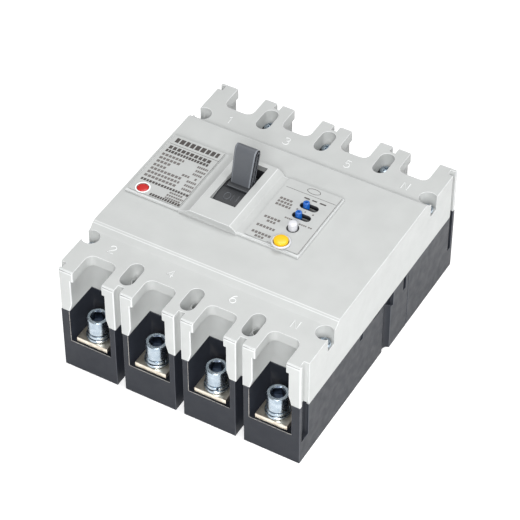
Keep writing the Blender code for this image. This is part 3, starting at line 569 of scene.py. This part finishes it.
def written(name, word, height, stroke, place, finish, body):
    """A word made of thin round strokes, centred on its place and half sunk in the surface."""
    curve = bpy.data.curves.new(name, "CURVE")
    curve.dimensions = "3D"
    curve.bevel_depth = stroke
    curve.bevel_resolution = 2
    curve.use_fill_caps = True
    widths = [max(x for line in GLYPHS[letter] for x, _ in line) for letter in word]
    left = -(sum(widths) + 0.3 * (len(word) - 1)) / 2
    for letter, width in zip(word, widths):
        for line in GLYPHS[letter]:
            spline = curve.splines.new("POLY")
            spline.points.add(len(line) - 1)
            for point, (x, y) in zip(spline.points, line):
                spot = place @ Vector(((left + x) * height, (y - 0.5) * height, 0))
                point.co = (*spot, 1)
        left += width + 0.3
    return show(name, curve, finish, body)


def pole_marks():
    """Raised pole marks on the two end decks."""
    for end, side in ENDS.items():
        for mark, x in POLE_MARKS[end]:
            place = Matrix.Translation((x * MM, side * MARK_Y, DECK_Z + MARK_LIFT))
            written(f"{end}_mark_{mark}", mark, MARK_HEIGHT, MARK_STROKE, place,
                    "mark_white", "housing")


def window_flash_and_highlight():
    """The pale line along each terminal window's left and lower edges: mould flash and rubbing, and a painted
    highlight of the lit edge.
    """
    for end, side in ENDS.items():
        face = side * 82.5
        shape = bmesh.new()
        for x in POLE_X:
            left, right = x / MM - WINDOW_HALF_X, x / MM + WINDOW_HALF_X
            flash_and_highlight_row(shape, (left, WINDOW_FLOOR_Z), (left, WINDOW_TOP_Z), face)
            flash_and_highlight_row(shape, (left, WINDOW_FLOOR_Z), (right, WINDOW_FLOOR_Z), face)
        piece(f"{end}_window_flash_and_highlight", shape, "flash_and_edge_highlight", "housing", smooth=False)


def flash_and_highlight_row(shape, start, end, face, steps=9):
    """Short uneven slivers from one (x, z) point to another, in millimetres."""
    for step in range(steps):
        width = FLASH_AND_HIGHLIGHT_WIDTH * random.uniform(0.5, 1.0) / 2
        spots = []
        for share in (step / steps, (step + random.uniform(0.75, 1.0)) / steps):
            spots.append([a + (b - a) * share for a, b in zip(start, end)])
        low = (spots[0][0] - width, face - 0.03, spots[0][1] - width)
        high = (spots[1][0] + width, face + 0.03, spots[1][1] + width)
        slab(shape, [v * MM for v in low], [v * MM for v in high])


# ---------------------------------------------------------------- fasteners


def terminal_bolt(end, number):
    """A socket head screw with its spring washer and flat washer."""
    node = f"{end}_terminal_bolt_{number}"
    low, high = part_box(node)
    centre = middle(low, high)
    top = high.z
    seat = top - HEAD_HEIGHT
    edge = 0.35 * MM
    profile = [
        (0, low.z), (SHANK_RADIUS - edge, low.z), (SHANK_RADIUS, low.z + edge), (SHANK_RADIUS, seat),
        (HEAD_RADIUS - edge, seat), (HEAD_RADIUS, seat + edge), (HEAD_RADIUS, top - 2 * edge),
        (HEAD_RADIUS - 0.3 * edge, top - 0.9 * edge), (HEAD_RADIUS - edge, top - 0.2 * edge),
        (HEAD_RADIUS - 1.6 * edge, top), (HEX_HALF + 0.75 * MM, top), (HEX_HALF, top - 0.5 * MM),
        (HEX_HALF, top - HEX_DEPTH), (0, top - HEX_DEPTH - 0.8 * MM),
    ]
    shape = bmesh.new()
    turn(shape, centre, profile, hexagons=(11, 12))
    bolt = piece(f"{end}_socket_bolt_{number}", shape, "zinc_steel", "housing")
    paint_socket_shade(bolt.data, centre, top)
    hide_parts(node)
    crease(bolt)
    spring_washer(f"{end}_spring_washer_{number}", centre, seat - SPRING_HEIGHT)
    shape = bmesh.new()
    bottom = seat - SPRING_HEIGHT - FLAT_HEIGHT
    turn(shape, centre, ring_profile(*FLAT_RADII, bottom, bottom + FLAT_HEIGHT, 0.2 * MM), closed=True)
    crease(piece(f"{end}_flat_washer_{number}", shape, "zinc_steel", "housing"))


def paint_socket_shade(mesh, centre, top):
    """Paints shade inside a bolt's hexagonal socket with a darker steel."""
    mesh.materials.append(MATERIALS["socket_shade_steel"])
    for polygon in mesh.polygons:
        out = polygon.center - centre
        if math.hypot(out.x, out.y) < HEX_HALF * 1.16 and polygon.center.z > top - 1.3 * HEX_DEPTH:
            polygon.material_index = 1


def crease(made):
    """Keeps hard corners hard on a smooth-shaded turned piece."""
    for edge in mesh_edges_sharper(made.data, math.radians(32)):
        edge.use_edge_sharp = True
    made.modifiers.new("even_normals", "WEIGHTED_NORMAL").keep_sharp = True


def mesh_edges_sharper(mesh, limit):
    """The edges of a mesh where its faces turn by more than a limit."""
    shape = bmesh.new()
    shape.from_mesh(mesh)
    found = [e.index for e in shape.edges if len(e.link_faces) == 2 and e.calc_face_angle() > limit]
    shape.free()
    return [mesh.edges[index] for index in found]


def spring_washer(name, centre, bottom):
    """A split ring whose two ends stand a little apart."""
    shape = bmesh.new()
    steps = 44
    gap = math.radians(9)
    start = random.uniform(0, 2 * math.pi)
    rise = 0.3 * MM
    inner, outer = SPRING_RADII
    height = SPRING_HEIGHT - rise
    rows = []
    for step in range(steps + 1):
        angle = start + gap / 2 + (2 * math.pi - gap) * step / steps
        lift = bottom + rise * step / steps
        row = []
        for radius, up in ((inner, 0), (outer, 0.15 * MM), (outer, height - 0.15 * MM), (inner, height)):
            spot = Vector((radius * math.cos(angle), radius * math.sin(angle), lift + up))
            row.append(shape.verts.new(centre + spot))
        rows.append(row)
    for near, far in zip(rows, rows[1:]):
        for index in range(4):
            after = (index + 1) % 4
            shape.faces.new((near[index], near[after], far[after], far[index]))
    shape.faces.new(rows[0])
    shape.faces.new(rows[-1][::-1])
    soften(piece(name, shape, "zinc_steel", "housing"), 0.2 * MM)


def cross_cutter(top):
    """Two crossed tapered blades for a cross recess."""
    cutters = []
    for turned in (0, math.pi / 2):
        shape = bmesh.new()
        rows = []
        for half_length, half_width, height in ((2.1, 0.55, 0.3), (1.0, 0.35, -1.7)):
            corners = []
            for x, y in ((-1, -1), (1, -1), (1, 1), (-1, 1)):
                spot = Vector((x * half_length * MM, y * half_width * MM, top + height * MM))
                corners.append(shape.verts.new(Matrix.Rotation(turned, 3, "Z") @ spot))
            rows.append(corners)
        shape.faces.new(rows[0])
        shape.faces.new(rows[1][::-1])
        for index in range(4):
            after = (index + 1) % 4
            shape.faces.new((rows[0][index], rows[1][index], rows[1][after], rows[0][after]))
        cutters.append(shape)
    return cutters


def cross_screw_mesh(radius, height, shank, place):
    """A pan head screw with a cross recess, its head's top at the place."""
    shape = bmesh.new()
    profile = [(0, -shank), (1.5 * MM, -shank), (1.5 * MM, -height), (radius - 0.2 * MM, -height)]
    profile += [(radius, -height + 0.2 * MM), (radius, -0.55 * height)]
    for step in range(1, 8):
        angle = math.pi / 2 * step / 8
        profile.append((radius * math.cos(angle), -0.55 * height * (1 - math.sin(angle))))
    profile.append((0, 0))
    turn(shape, Vector((0, 0, 0)), profile, segments=40)
    mesh = carved("cross_screw", shape, cross_cutter(0.0))
    mesh.transform(place)
    return mesh


def cross_screws(prefix, count):
    """Detailed screws in the places of the CAD ones."""
    for number in range(1, count + 1):
        low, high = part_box(f"{prefix}_{number}")
        turned = Matrix.Rotation(random.uniform(0, math.pi / 2), 4, "Z")
        place = Matrix.Translation(middle(low, high, high.z)) @ turned
        radius = (high.x - low.x) / 2
        mesh = cross_screw_mesh(radius, SCREW_HEAD_HEIGHT, high.z - low.z, place)
        made = show(f"{prefix}_head_{number}", mesh, "zinc_steel", "housing")
        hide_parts(f"{prefix}_{number}")
        made.modifiers.new("even_normals", "WEIGHTED_NORMAL")


def screw_shadow(node):
    """A dark ring painted as shade round a screw deep in its slot."""
    low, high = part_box(node)
    radius = (high.x - low.x) / 2
    floor = high.z - SCREW_HEAD_HEIGHT
    inner, outer = (radius + reach for reach in SHADE_RING_REACH)
    shape = bmesh.new()
    profile = ring_profile(inner, outer, floor, floor + SHADE_RING_HEIGHT, 0.1 * MM)
    turn(shape, middle(low, high), profile, closed=True)
    piece(f"{node}_shade_ring", shape, "mechanism_plastic", "housing")


# ---------------------------------------------------------------- handle


def handle_place():
    """The leaning frame of the handle, with its origin on the pivot."""
    joint = next(j for j in frame["joints"] if j["name"] == "handle_throw")
    low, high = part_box("handle")
    pivot = Vector(joint["pos_m"])
    pivot.x = (low.x + high.x) / 2
    return Matrix.Translation(pivot) @ Matrix.Rotation(-HANDLE_LEAN, 4, "X")


def blade_half(height):
    """Half the blade's width, which grows a little toward the tip."""
    foot, tip = BLADE_OUTLINE[0][1], BLADE_OUTLINE[6][1]
    return BLADE_HALF_X[0] + (BLADE_HALF_X[1] - BLADE_HALF_X[0]) * (height - foot) / (tip - foot)


def make_blade(place):
    """The toggle's blade: a blunt rounded tip and a groove round each side panel; the bands round each panel,
    groove included, are painted dark as shade, and the rounded edges have a painted highlight.
    """
    shape = bmesh.new()
    weights = shape.edges.layers.float.new("bevel_weight_edge")
    rows = []
    for side in (-1, 1):
        rows.append([shape.verts.new((side * blade_half(z) * MM, y * MM, z * MM)) for y, z in BLADE_OUTLINE])
    sides = [shape.faces.new(rows[0][::-1]), shape.faces.new(rows[1])]
    count = len(BLADE_OUTLINE)
    for index in range(count):
        after = (index + 1) % count
        shape.faces.new((rows[0][index], rows[0][after], rows[1][after], rows[1][index]))
    bmesh.ops.recalc_face_normals(shape, faces=shape.faces)
    for face in sides:
        for edge in face.edges:
            at_tip = all(vert.co.z > BLADE_TIP for vert in edge.verts)
            edge[weights] = 1.0 if at_tip else 0.55
    for thickness, depth in ((1.0, 0.0), (0.10, -0.45), (0.50, 0.0), (0.10, 0.35)):
        ring = bmesh.ops.inset_region(shape, faces=sides, thickness=thickness * MM, depth=depth * MM)
        # Painted shade: the inset bands round each side panel, the groove among them, take the dark mechanism
        # plastic in slot 2.
        for face in ring["faces"]:
            face.material_index = 0 if depth == 0 and thickness > 1 else 2
    for face in sides:
        face.material_index = 0
    for edge in shape.edges:
        if edge[weights] == 0 and edge.calc_face_angle() > GROOVE_SHARP:
            edge[weights] = 0.06
    bmesh.ops.transform(shape, matrix=place, verts=shape.verts)
    made = piece("toggle", shape, "grip_plastic", "handle")
    made.data.materials.append(MATERIALS["grip_rim_highlight"])
    made.data.materials.append(MATERIALS["mechanism_plastic"])
    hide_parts("handle")
    bevel = made.modifiers.new("round_edges", "BEVEL")
    # The rounded edges get the painted highlight colour in slot 1.
    bevel.material = 1
    bevel.limit_method = "WEIGHT"
    bevel.use_clamp_overlap = False
    bevel.width = BLADE_ROUNDING
    bevel.segments = 4
    made.modifiers.new("even_normals", "WEIGHTED_NORMAL")


def swept(shape, outline, left, right):
    """An outline of (y, z) points between two places along X."""
    near = [shape.verts.new((left, y, z)) for y, z in outline]
    far = [shape.verts.new((right, y, z)) for y, z in outline]
    shape.faces.new(near[::-1])
    shape.faces.new(far)
    for index in range(len(outline)):
        after = (index + 1) % len(outline)
        shape.faces.new((near[index], near[after], far[after], far[index]))


def make_handle():
    """The blade, the low plinth with its front ridge that runs over the shutter, and dark strips painted as shade
    in the gaps beside the plinth.
    """
    place = handle_place()
    make_blade(place)
    shape = bmesh.new()
    outline = [(y * MM, z * MM) for y, z in PLINTH_OUTLINE]
    swept(shape, outline, -PLINTH_HALF_X * MM, PLINTH_HALF_X * MM)
    bmesh.ops.transform(shape, matrix=place, verts=shape.verts)
    soften(piece("toggle_plinth", shape, "shutter_plastic", "handle"), 0.12 * MM)
    shape = bmesh.new()
    ridge = [(y * MM, z * MM) for y, z in ((-5.38, 39.7), (-5.3, 40.1), (-5.05, 40.15), (-4.95, 39.9))]
    swept(shape, ridge, -PLINTH_HALF_X * MM, PLINTH_HALF_X * MM)
    bmesh.ops.transform(shape, matrix=place, verts=shape.verts)
    soften(piece("toggle_ridge", shape, "grip_plastic", "handle"), 0.1 * MM)
    shape = bmesh.new()
    # Painted shade: dark strips in the gaps beside the plinth.
    for left, right in GAP_SHADE_STRIPS:
        strip = [(y * MM, z * MM) for y, z in ((-5.3, 38.2), (-5.3, 39.0), (4.2, 39.0), (4.2, 38.2))]
        swept(shape, strip, left * MM, right * MM)
    bmesh.ops.transform(shape, matrix=place, verts=shape.verts)
    piece("toggle_gap_shade", shape, "mechanism_plastic", "handle", smooth=False)


def make_shutter():
    """The curved strip that closes the slot, with its two raised words."""
    low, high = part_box("handle_shutter")
    place = handle_place()
    left, right = low.x - place.translation.x, high.x - place.translation.x
    start, stop = SHUTTER_SWEEP
    inner, outer = SHUTTER_RADII
    steps = 64
    angles = [start + (stop - start) * step / steps for step in range(steps + 1)]
    outline = [(outer * math.sin(angle), outer * math.cos(angle)) for angle in angles]
    outline += [(inner * math.sin(angle), inner * math.cos(angle)) for angle in reversed(angles)]
    shape = bmesh.new()
    swept(shape, outline, left, right)
    bmesh.ops.transform(shape, matrix=place, verts=shape.verts)
    made = piece("shutter_strip", shape, "shutter_plastic", "handle")
    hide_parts("handle_shutter")
    crease(made)
    for word, lean in WORD_LEAN.items():
        on_strip = place @ Matrix.Rotation(-lean, 4, "X") @ Matrix.Translation((WORD_SHIFT, 0, outer))
        written(f"shutter_word_{word}", word, WORD_HEIGHT, 0.2 * MM, on_strip,
                "grip_plastic", "handle")


def slot_shade_liner():
    """Painted shade: a dark plate on the handle slot's back wall."""
    low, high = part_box("handle_shutter")
    shape = bmesh.new()
    slab(shape, (low.x + 0.5 * MM, 26.3 * MM, 66.9 * MM), (high.x - 0.5 * MM, 26.45 * MM, 73.0 * MM))
    piece("slot_shade_liner", shape, "mechanism_plastic", "housing", smooth=False)


# ---------------------------------------------------------------- controls


def dome(radius, foot, top, crown, steps=8):
    """A button's profile: straight sides, then a quarter ellipse crown high to the top."""
    profile = [(0, foot), (radius, foot), (radius, top - crown)]
    for step in range(1, steps):
        angle = math.pi / 2 * step / steps
        profile.append((radius * math.cos(angle) ** 0.6, top - crown + crown * math.sin(angle)))
    return profile + [(0, top)]


def push_button(node, label_top):
    """The shown part of a round button, in the place of a CAD one."""
    low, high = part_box(node)
    radius, crown = BUTTONS[node]
    shape = bmesh.new()
    profile = dome(radius * MM, label_top - BUTTON_FOOT, high.z, crown * MM)
    turn(shape, middle(low, high), profile)
    finish = MATERIAL_OF[node]
    made = piece(f"{node}_cap", shape, finish, BODY_OF[node])
    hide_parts(node)
    crease(made)


def flat_ring(name, centre, inner, outer, low, high, finish, slot):
    """A flat ring with eased edges that lies on the label."""
    shape = bmesh.new()
    turn(shape, centre, ring_profile(inner, outer, low, high, 0.35 * (high - low)), closed=True)
    piece(name, shape, finish, "housing")


def button_rings(label_top):
    """The rings round the three buttons: the raised trip ring, near white as a painted highlight; the white
    collar; and a black ring round the reset button, painted as shade of its gap.
    """
    trip = middle(*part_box("trip_button"))
    top = label_top + TRIP_RING_HEIGHT
    # Painted highlight: the trip ring is near white.
    flat_ring("trip_ring", trip, *TRIP_RING, label_top, top, "trip_ring_highlight", "light_case")
    low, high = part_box("test_button_collar")
    shape = bmesh.new()
    profile = ring_profile(*COLLAR_RADII, label_top, high.z, COLLAR_EDGE)
    turn(shape, middle(low, high), profile, closed=True)
    collar = piece("yellow_collar", shape, "white_plastic", "housing")
    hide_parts("test_button_collar")
    reset = middle(*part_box("reset_button"))
    top = label_top + RESET_SHADE_RING_HEIGHT
    # Painted shade: a black ring round the reset button.
    flat_ring("reset_shade_ring", reset, *RESET_SHADE_RING, label_top, top, "black_ink_and_shade", "mechanism_plastic")


def selector_knob(number, label_top):
    """A small blue knob with a hexagonal socket in its top."""
    node = f"selector_knob_{number}"
    low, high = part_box(node)
    centre = middle(low, high)
    edge = 0.35 * MM
    depth = high.z - 0.8 * MM
    profile = [(0, label_top - BUTTON_FOOT), (KNOB_RADIUS, label_top - BUTTON_FOOT)]
    profile += [(KNOB_RADIUS, high.z - edge), (KNOB_RADIUS - 0.4 * edge, high.z - 0.3 * edge)]
    profile += [(KNOB_RADIUS - edge, high.z), (KNOB_SOCKET, high.z), (KNOB_SOCKET, depth), (0, depth)]
    shape = bmesh.new()
    turn(shape, centre, profile, segments=36, hexagons=(5, 6))
    made = piece(f"selector_{number}", shape, "blue_plastic", BODY_OF[node])
    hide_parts(node)
    crease(made)


def selector_slot(number, label_top):
    """A black lining painted as shade on the walls of a selector's slot, and the black outline round it."""
    low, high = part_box(f"selector_knob_{number}")
    y = (low.y + high.y) / 2
    left, right = SELECTOR_SLOT_X
    shape = bmesh.new()
    inner = obround(left + 2 * MM, right - 2 * MM, y, 1.88 * MM)
    outer = obround(left + 2 * MM, right - 2 * MM, y, 1.99 * MM)
    band(shape, inner, outer, label_top - 2.4 * MM, label_top + 0.05 * MM)
    piece(f"selector_shade_lining_{number}", shape, "black_ink_and_shade", "housing")
    shape = bmesh.new()
    outer = obround(left + 2 * MM, right - 2 * MM, y, 2.3 * MM)
    inner = obround(left + 2 * MM, right - 2 * MM, y, 2.0 * MM)
    band(shape, inner, outer, label_top, label_top + INK_HEIGHT)
    piece(f"selector_outline_{number}", shape, "black_ink_and_shade", "housing")


# ---------------------------------------------------------------- labels

INK_HEIGHT = 0.03 * MM

# Rows of unreadable print: left end, right end, middle height, row height and mark width,
# in millimetres from the label's front left corner.
NAMEPLATE_BOLD = (
    (2.2, 28.2, 43.6, 3.6, 2.6),
    (1.8, 28.4, 37.4, 2.5, 2.3),
    (1.6, 28.0, 34.4, 2.0, 1.5),
    (12.2, 30.3, 1.2, 1.9, 1.3),
    (1.8, 30.6, 9.5, 1.7, 1.5),
)
NAMEPLATE_FINE = (
    (1.4, 14.6, 31.0, 1.8, 1.8), (22.8, 29.0, 31.0, 1.6, 1.0),
    (1.6, 14.0, 28.0, 1.8, 1.8), (23.5, 29.3, 28.0, 1.6, 1.0),
    (1.7, 10.5, 25.1, 1.8, 1.8), (23.5, 29.0, 25.1, 1.6, 1.0),
    (1.8, 9.0, 21.9, 1.8, 1.8), (19.0, 23.5, 21.9, 1.6, 1.3), (26.5, 28.0, 21.9, 1.6, 1.3),
    (1.9, 20.8, 18.9, 1.8, 1.8), (23.6, 29.2, 18.9, 1.6, 1.0),
    (1.9, 20.8, 15.8, 1.8, 1.8), (24.0, 29.4, 15.8, 1.6, 1.0),
    (1.8, 20.6, 12.8, 1.8, 1.8), (24.2, 29.6, 12.8, 1.6, 1.0),
    (20.4, 28.6, 7.2, 1.3, 1.1), (20.0, 29.6, 5.0, 1.3, 1.1), (20.2, 29.0, 3.0, 1.3, 1.1),
)
CONTROL_BOLD = (
    (13.6, 17.2, 38.0, 0.9, 3.6), (18.2, 21.9, 38.0, 0.9, 3.7), (22.6, 26.4, 38.0, 0.9, 3.8),
)
CONTROL_FINE = (
    (2.8, 11.0, 32.0, 1.6, 1.6), (2.8, 11.0, 29.6, 1.6, 1.6), (2.8, 11.4, 27.2, 1.6, 1.6),
    (2.6, 12.0, 16.2, 1.6, 1.6), (5.4, 10.2, 13.7, 1.6, 1.6),
    (2.2, 12.6, 9.1, 1.7, 1.6),
    (2.4, 13.2, 3.8, 1.7, 1.6), (5.4, 11.2, 1.4, 1.6, 1.6),
    (14.2, 15.2, 28.6, 1.0, 0.9), (18.9, 20.1, 28.6, 1.0, 0.9), (23.4, 24.8, 28.6, 1.0, 0.9),
    (12.1, 16.2, 20.3, 1.0, 1.0), (20.8, 25.0, 19.4, 1.0, 1.0), (26.0, 28.3, 19.4, 1.0, 1.0),
)


def print_rows(name, plate, rows, finish):
    """Rows of small printed marks on a label, with word gaps and no readable letters."""
    low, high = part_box(plate)
    shape = bmesh.new()
    for left, right, height, tall, wide in rows:
        x = left
        while x < right - 0.4 * wide:
            width = min(wide * random.uniform(0.75, 1.0), right - x)
            floor = (low.x + x * MM, low.y + (height - tall / 2) * MM, high.z)
            roof = (low.x + (x + width) * MM, low.y + (height + tall / 2) * MM, high.z + INK_HEIGHT)
            slab(shape, floor, roof)
            x += width + 0.28 * wide
    piece(name, shape, finish, "housing", smooth=False)


def print_line(shape, plate_box, start, end, width):
    """A printed line along X or Y, in millimetres from the label's front left corner."""
    low, high = plate_box
    half = width / 2
    floor = (low.x + (start[0] - half) * MM, low.y + (start[1] - half) * MM, high.z)
    roof = (low.x + (end[0] + half) * MM, low.y + (end[1] + half) * MM, high.z + INK_HEIGHT)
    slab(shape, floor, roof)


def label_lines():
    """The rules and borders of both labels and the plain oval on the control label."""
    shape = bmesh.new()
    left_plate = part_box("nameplate")
    right_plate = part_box("residual_current_plate")
    print_line(shape, left_plate, (0.8, 40.0), (30.0, 40.0), 0.22)
    # Painted shade: the line near the nameplate's right edge stands for the shading of the plate's edge.
    print_line(shape, left_plate, (30.1, 0.3), (30.1, 46.6), 0.22)
    print_line(shape, right_plate, (1.6, 40.8), (30.4, 40.8), 0.22)
    print_line(shape, right_plate, (30.9, 0.4), (30.9, 46.4), 0.22)
    print_line(shape, right_plate, (13.0, 0.3), (15.0, 0.3), 0.2)
    piece("label_lines", shape, "bold_ink", "housing", smooth=False)
    low, high = right_plate
    rings = []
    for reach_x, reach_y in ((3.5, 1.65), (3.85, 1.95)):
        ring = []
        for step in range(40):
            angle = 2 * math.pi * step / 40
            ring.append((low.x + (15.9 + reach_x * math.cos(angle)) * MM,
                         low.y + (44.1 + reach_y * math.sin(angle)) * MM))
        rings.append(ring)
    shape = bmesh.new()
    band(shape, rings[0], rings[1], high.z, high.z + INK_HEIGHT)
    piece("control_oval", shape, "bold_ink", "housing", smooth=False)


# ---------------------------------------------------------------- stage

FLOOR_GLOW = 0.30
FLOOR_Z = -0.2 * MM
WORLD_STRENGTH = 0.40

# Name, place, size in metres and power in watts.
LIGHTS = (
    ("key", (0.33, -0.82, 0.72), 0.45, 9.8),
    ("side", (1.0, -0.1, 0.45), 0.5, 3.6),
    ("top", (0.0, 0.3, 1.1), 0.8, 6.4),
)


def make_camera():
    """The camera, with no shift and no blur."""
    turn_side, rise = CAMERA_TURN, CAMERA_RISE
    flat = math.cos(rise)
    back = Vector((math.sin(turn_side) * flat, -math.cos(turn_side) * flat, math.sin(rise)))
    right = Vector((math.cos(turn_side), math.sin(turn_side), 0))
    up = back.cross(right)
    data = bpy.data.cameras.new("camera")
    data.lens = CAMERA_LENS
    data.sensor_width = 36
    data.clip_start = 0.01
    data.clip_end = 50
    camera = bpy.data.objects.new("camera", data)
    spot = back * CAMERA_DISTANCE + right * CAMERA_SIDE + up * CAMERA_LIFT
    camera.matrix_world = Matrix.Translation(spot) @ Matrix((right, up, back)).transposed().to_4x4()
    bpy.context.scene.collection.objects.link(camera)
    bpy.context.scene.camera = camera


def area_light(name, place, size, power, aim=(0, 0, 0.03)):
    """A soft square light that points at the object."""
    data = bpy.data.lights.new(name, "AREA")
    data.size = size
    data.energy = power
    light = bpy.data.objects.new(name, data)
    light.location = place
    light.rotation_mode = "QUATERNION"
    light.rotation_quaternion = (Vector(aim) - Vector(place)).to_track_quat("-Z", "Y")
    bpy.context.scene.collection.objects.link(light)


def make_stage():
    """A pale floor, a pale world and soft studio lights from the front right."""
    shape = bmesh.new()
    bmesh.ops.create_grid(shape, x_segments=2, y_segments=2, size=4)
    bmesh.ops.translate(shape, verts=shape.verts, vec=(0, 0, FLOOR_Z))
    mesh = bpy.data.meshes.new("floor")
    shape.to_mesh(mesh)
    shape.free()
    mix = Recipe("floor_paper")
    tint = mix.blend(mix.noise(0.5, 2.0), (0.93, 0.93, 0.93, 1), (0.95, 0.95, 0.95, 1))
    mesh.materials.append(mix.done(tint, 0.9, mix.bump(mix.noise(0.01), 0.02 * MM)))
    mix.shader.inputs["Emission Color"].default_value = (1.0, 1.0, 1.0, 1)
    mix.shader.inputs["Emission Strength"].default_value = FLOOR_GLOW
    floor = bpy.data.objects.new("floor", mesh)
    bpy.context.scene.collection.objects.link(floor)
    world = bpy.data.worlds.new("studio")
    world.use_nodes = True
    world.node_tree.nodes["Background"].inputs["Color"].default_value = (1.0, 1.0, 1.0, 1)
    world.node_tree.nodes["Background"].inputs["Strength"].default_value = WORLD_STRENGTH
    bpy.context.scene.world = world
    for name, place, size, power in LIGHTS:
        area_light(name, place, size, power)
    bpy.context.scene.view_settings.view_transform = "Standard"


# ---------------------------------------------------------------- the whole breaker

MATERIAL_OF = {part["node"]: part["material_slot"] for part in frame["record"]["subparts"]}
BODY_OF = {}
for body, members in frame["record"]["behaviour"]["bodies"].items():
    for member in members:
        BODY_OF[member] = body
POLE_X = [sum(corner.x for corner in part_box(f"load_terminal_{number}")) / 2 for number in POLES]
GAP_X = [(near + far) / 2 for near, far in zip(POLE_X, POLE_X[1:])]
SELECTOR_SLOT_X = (15.7 * MM, 25.6 * MM)


def paint_nodes():
    """Gives every CAD node its finish."""
    for node, thing in frame["nodes"].items():
        finish = MATERIALS[MATERIAL_OF[node]]
        if not thing.data.materials:
            thing.data.materials.append(finish)
        for place in thing.material_slots:
            place.material = finish


def build():
    paint_nodes()
    rounded_shell("base", "base_shell", base_radius)
    rounded_shell("cover", "cover_shell", cover_radius)
    mounting_eyelets()
    pole_marks()
    window_flash_and_highlight()
    for end in ENDS:
        for number in POLES:
            terminal_bolt(end, number)
            rounded_shell(f"{end}_terminal_{number}", f"{end}_bar_{number}", base_radius)
    cross_screws("slot_screw", SLOT_SCREWS)
    cross_screws("corner_screw", CORNER_SCREWS)
    for number in range(1, SLOT_SCREWS + 1):
        screw_shadow(f"slot_screw_{number}")
    make_handle()
    make_shutter()
    slot_shade_liner()
    label_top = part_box("nameplate")[1].z
    for node in BUTTONS:
        push_button(node, label_top)
    button_rings(label_top)
    for number in (1, 2):
        selector_knob(number, label_top)
        selector_slot(number, label_top)
    print_rows("nameplate_bold_print", "nameplate", NAMEPLATE_BOLD, "bold_ink")
    print_rows("nameplate_fine_print", "nameplate", NAMEPLATE_FINE, "fine_ink")
    print_rows("control_bold_print", "residual_current_plate", CONTROL_BOLD, "bold_ink")
    print_rows("control_fine_print", "residual_current_plate", CONTROL_FINE, "fine_ink")
    label_lines()
    make_stage()
    make_camera()


build()
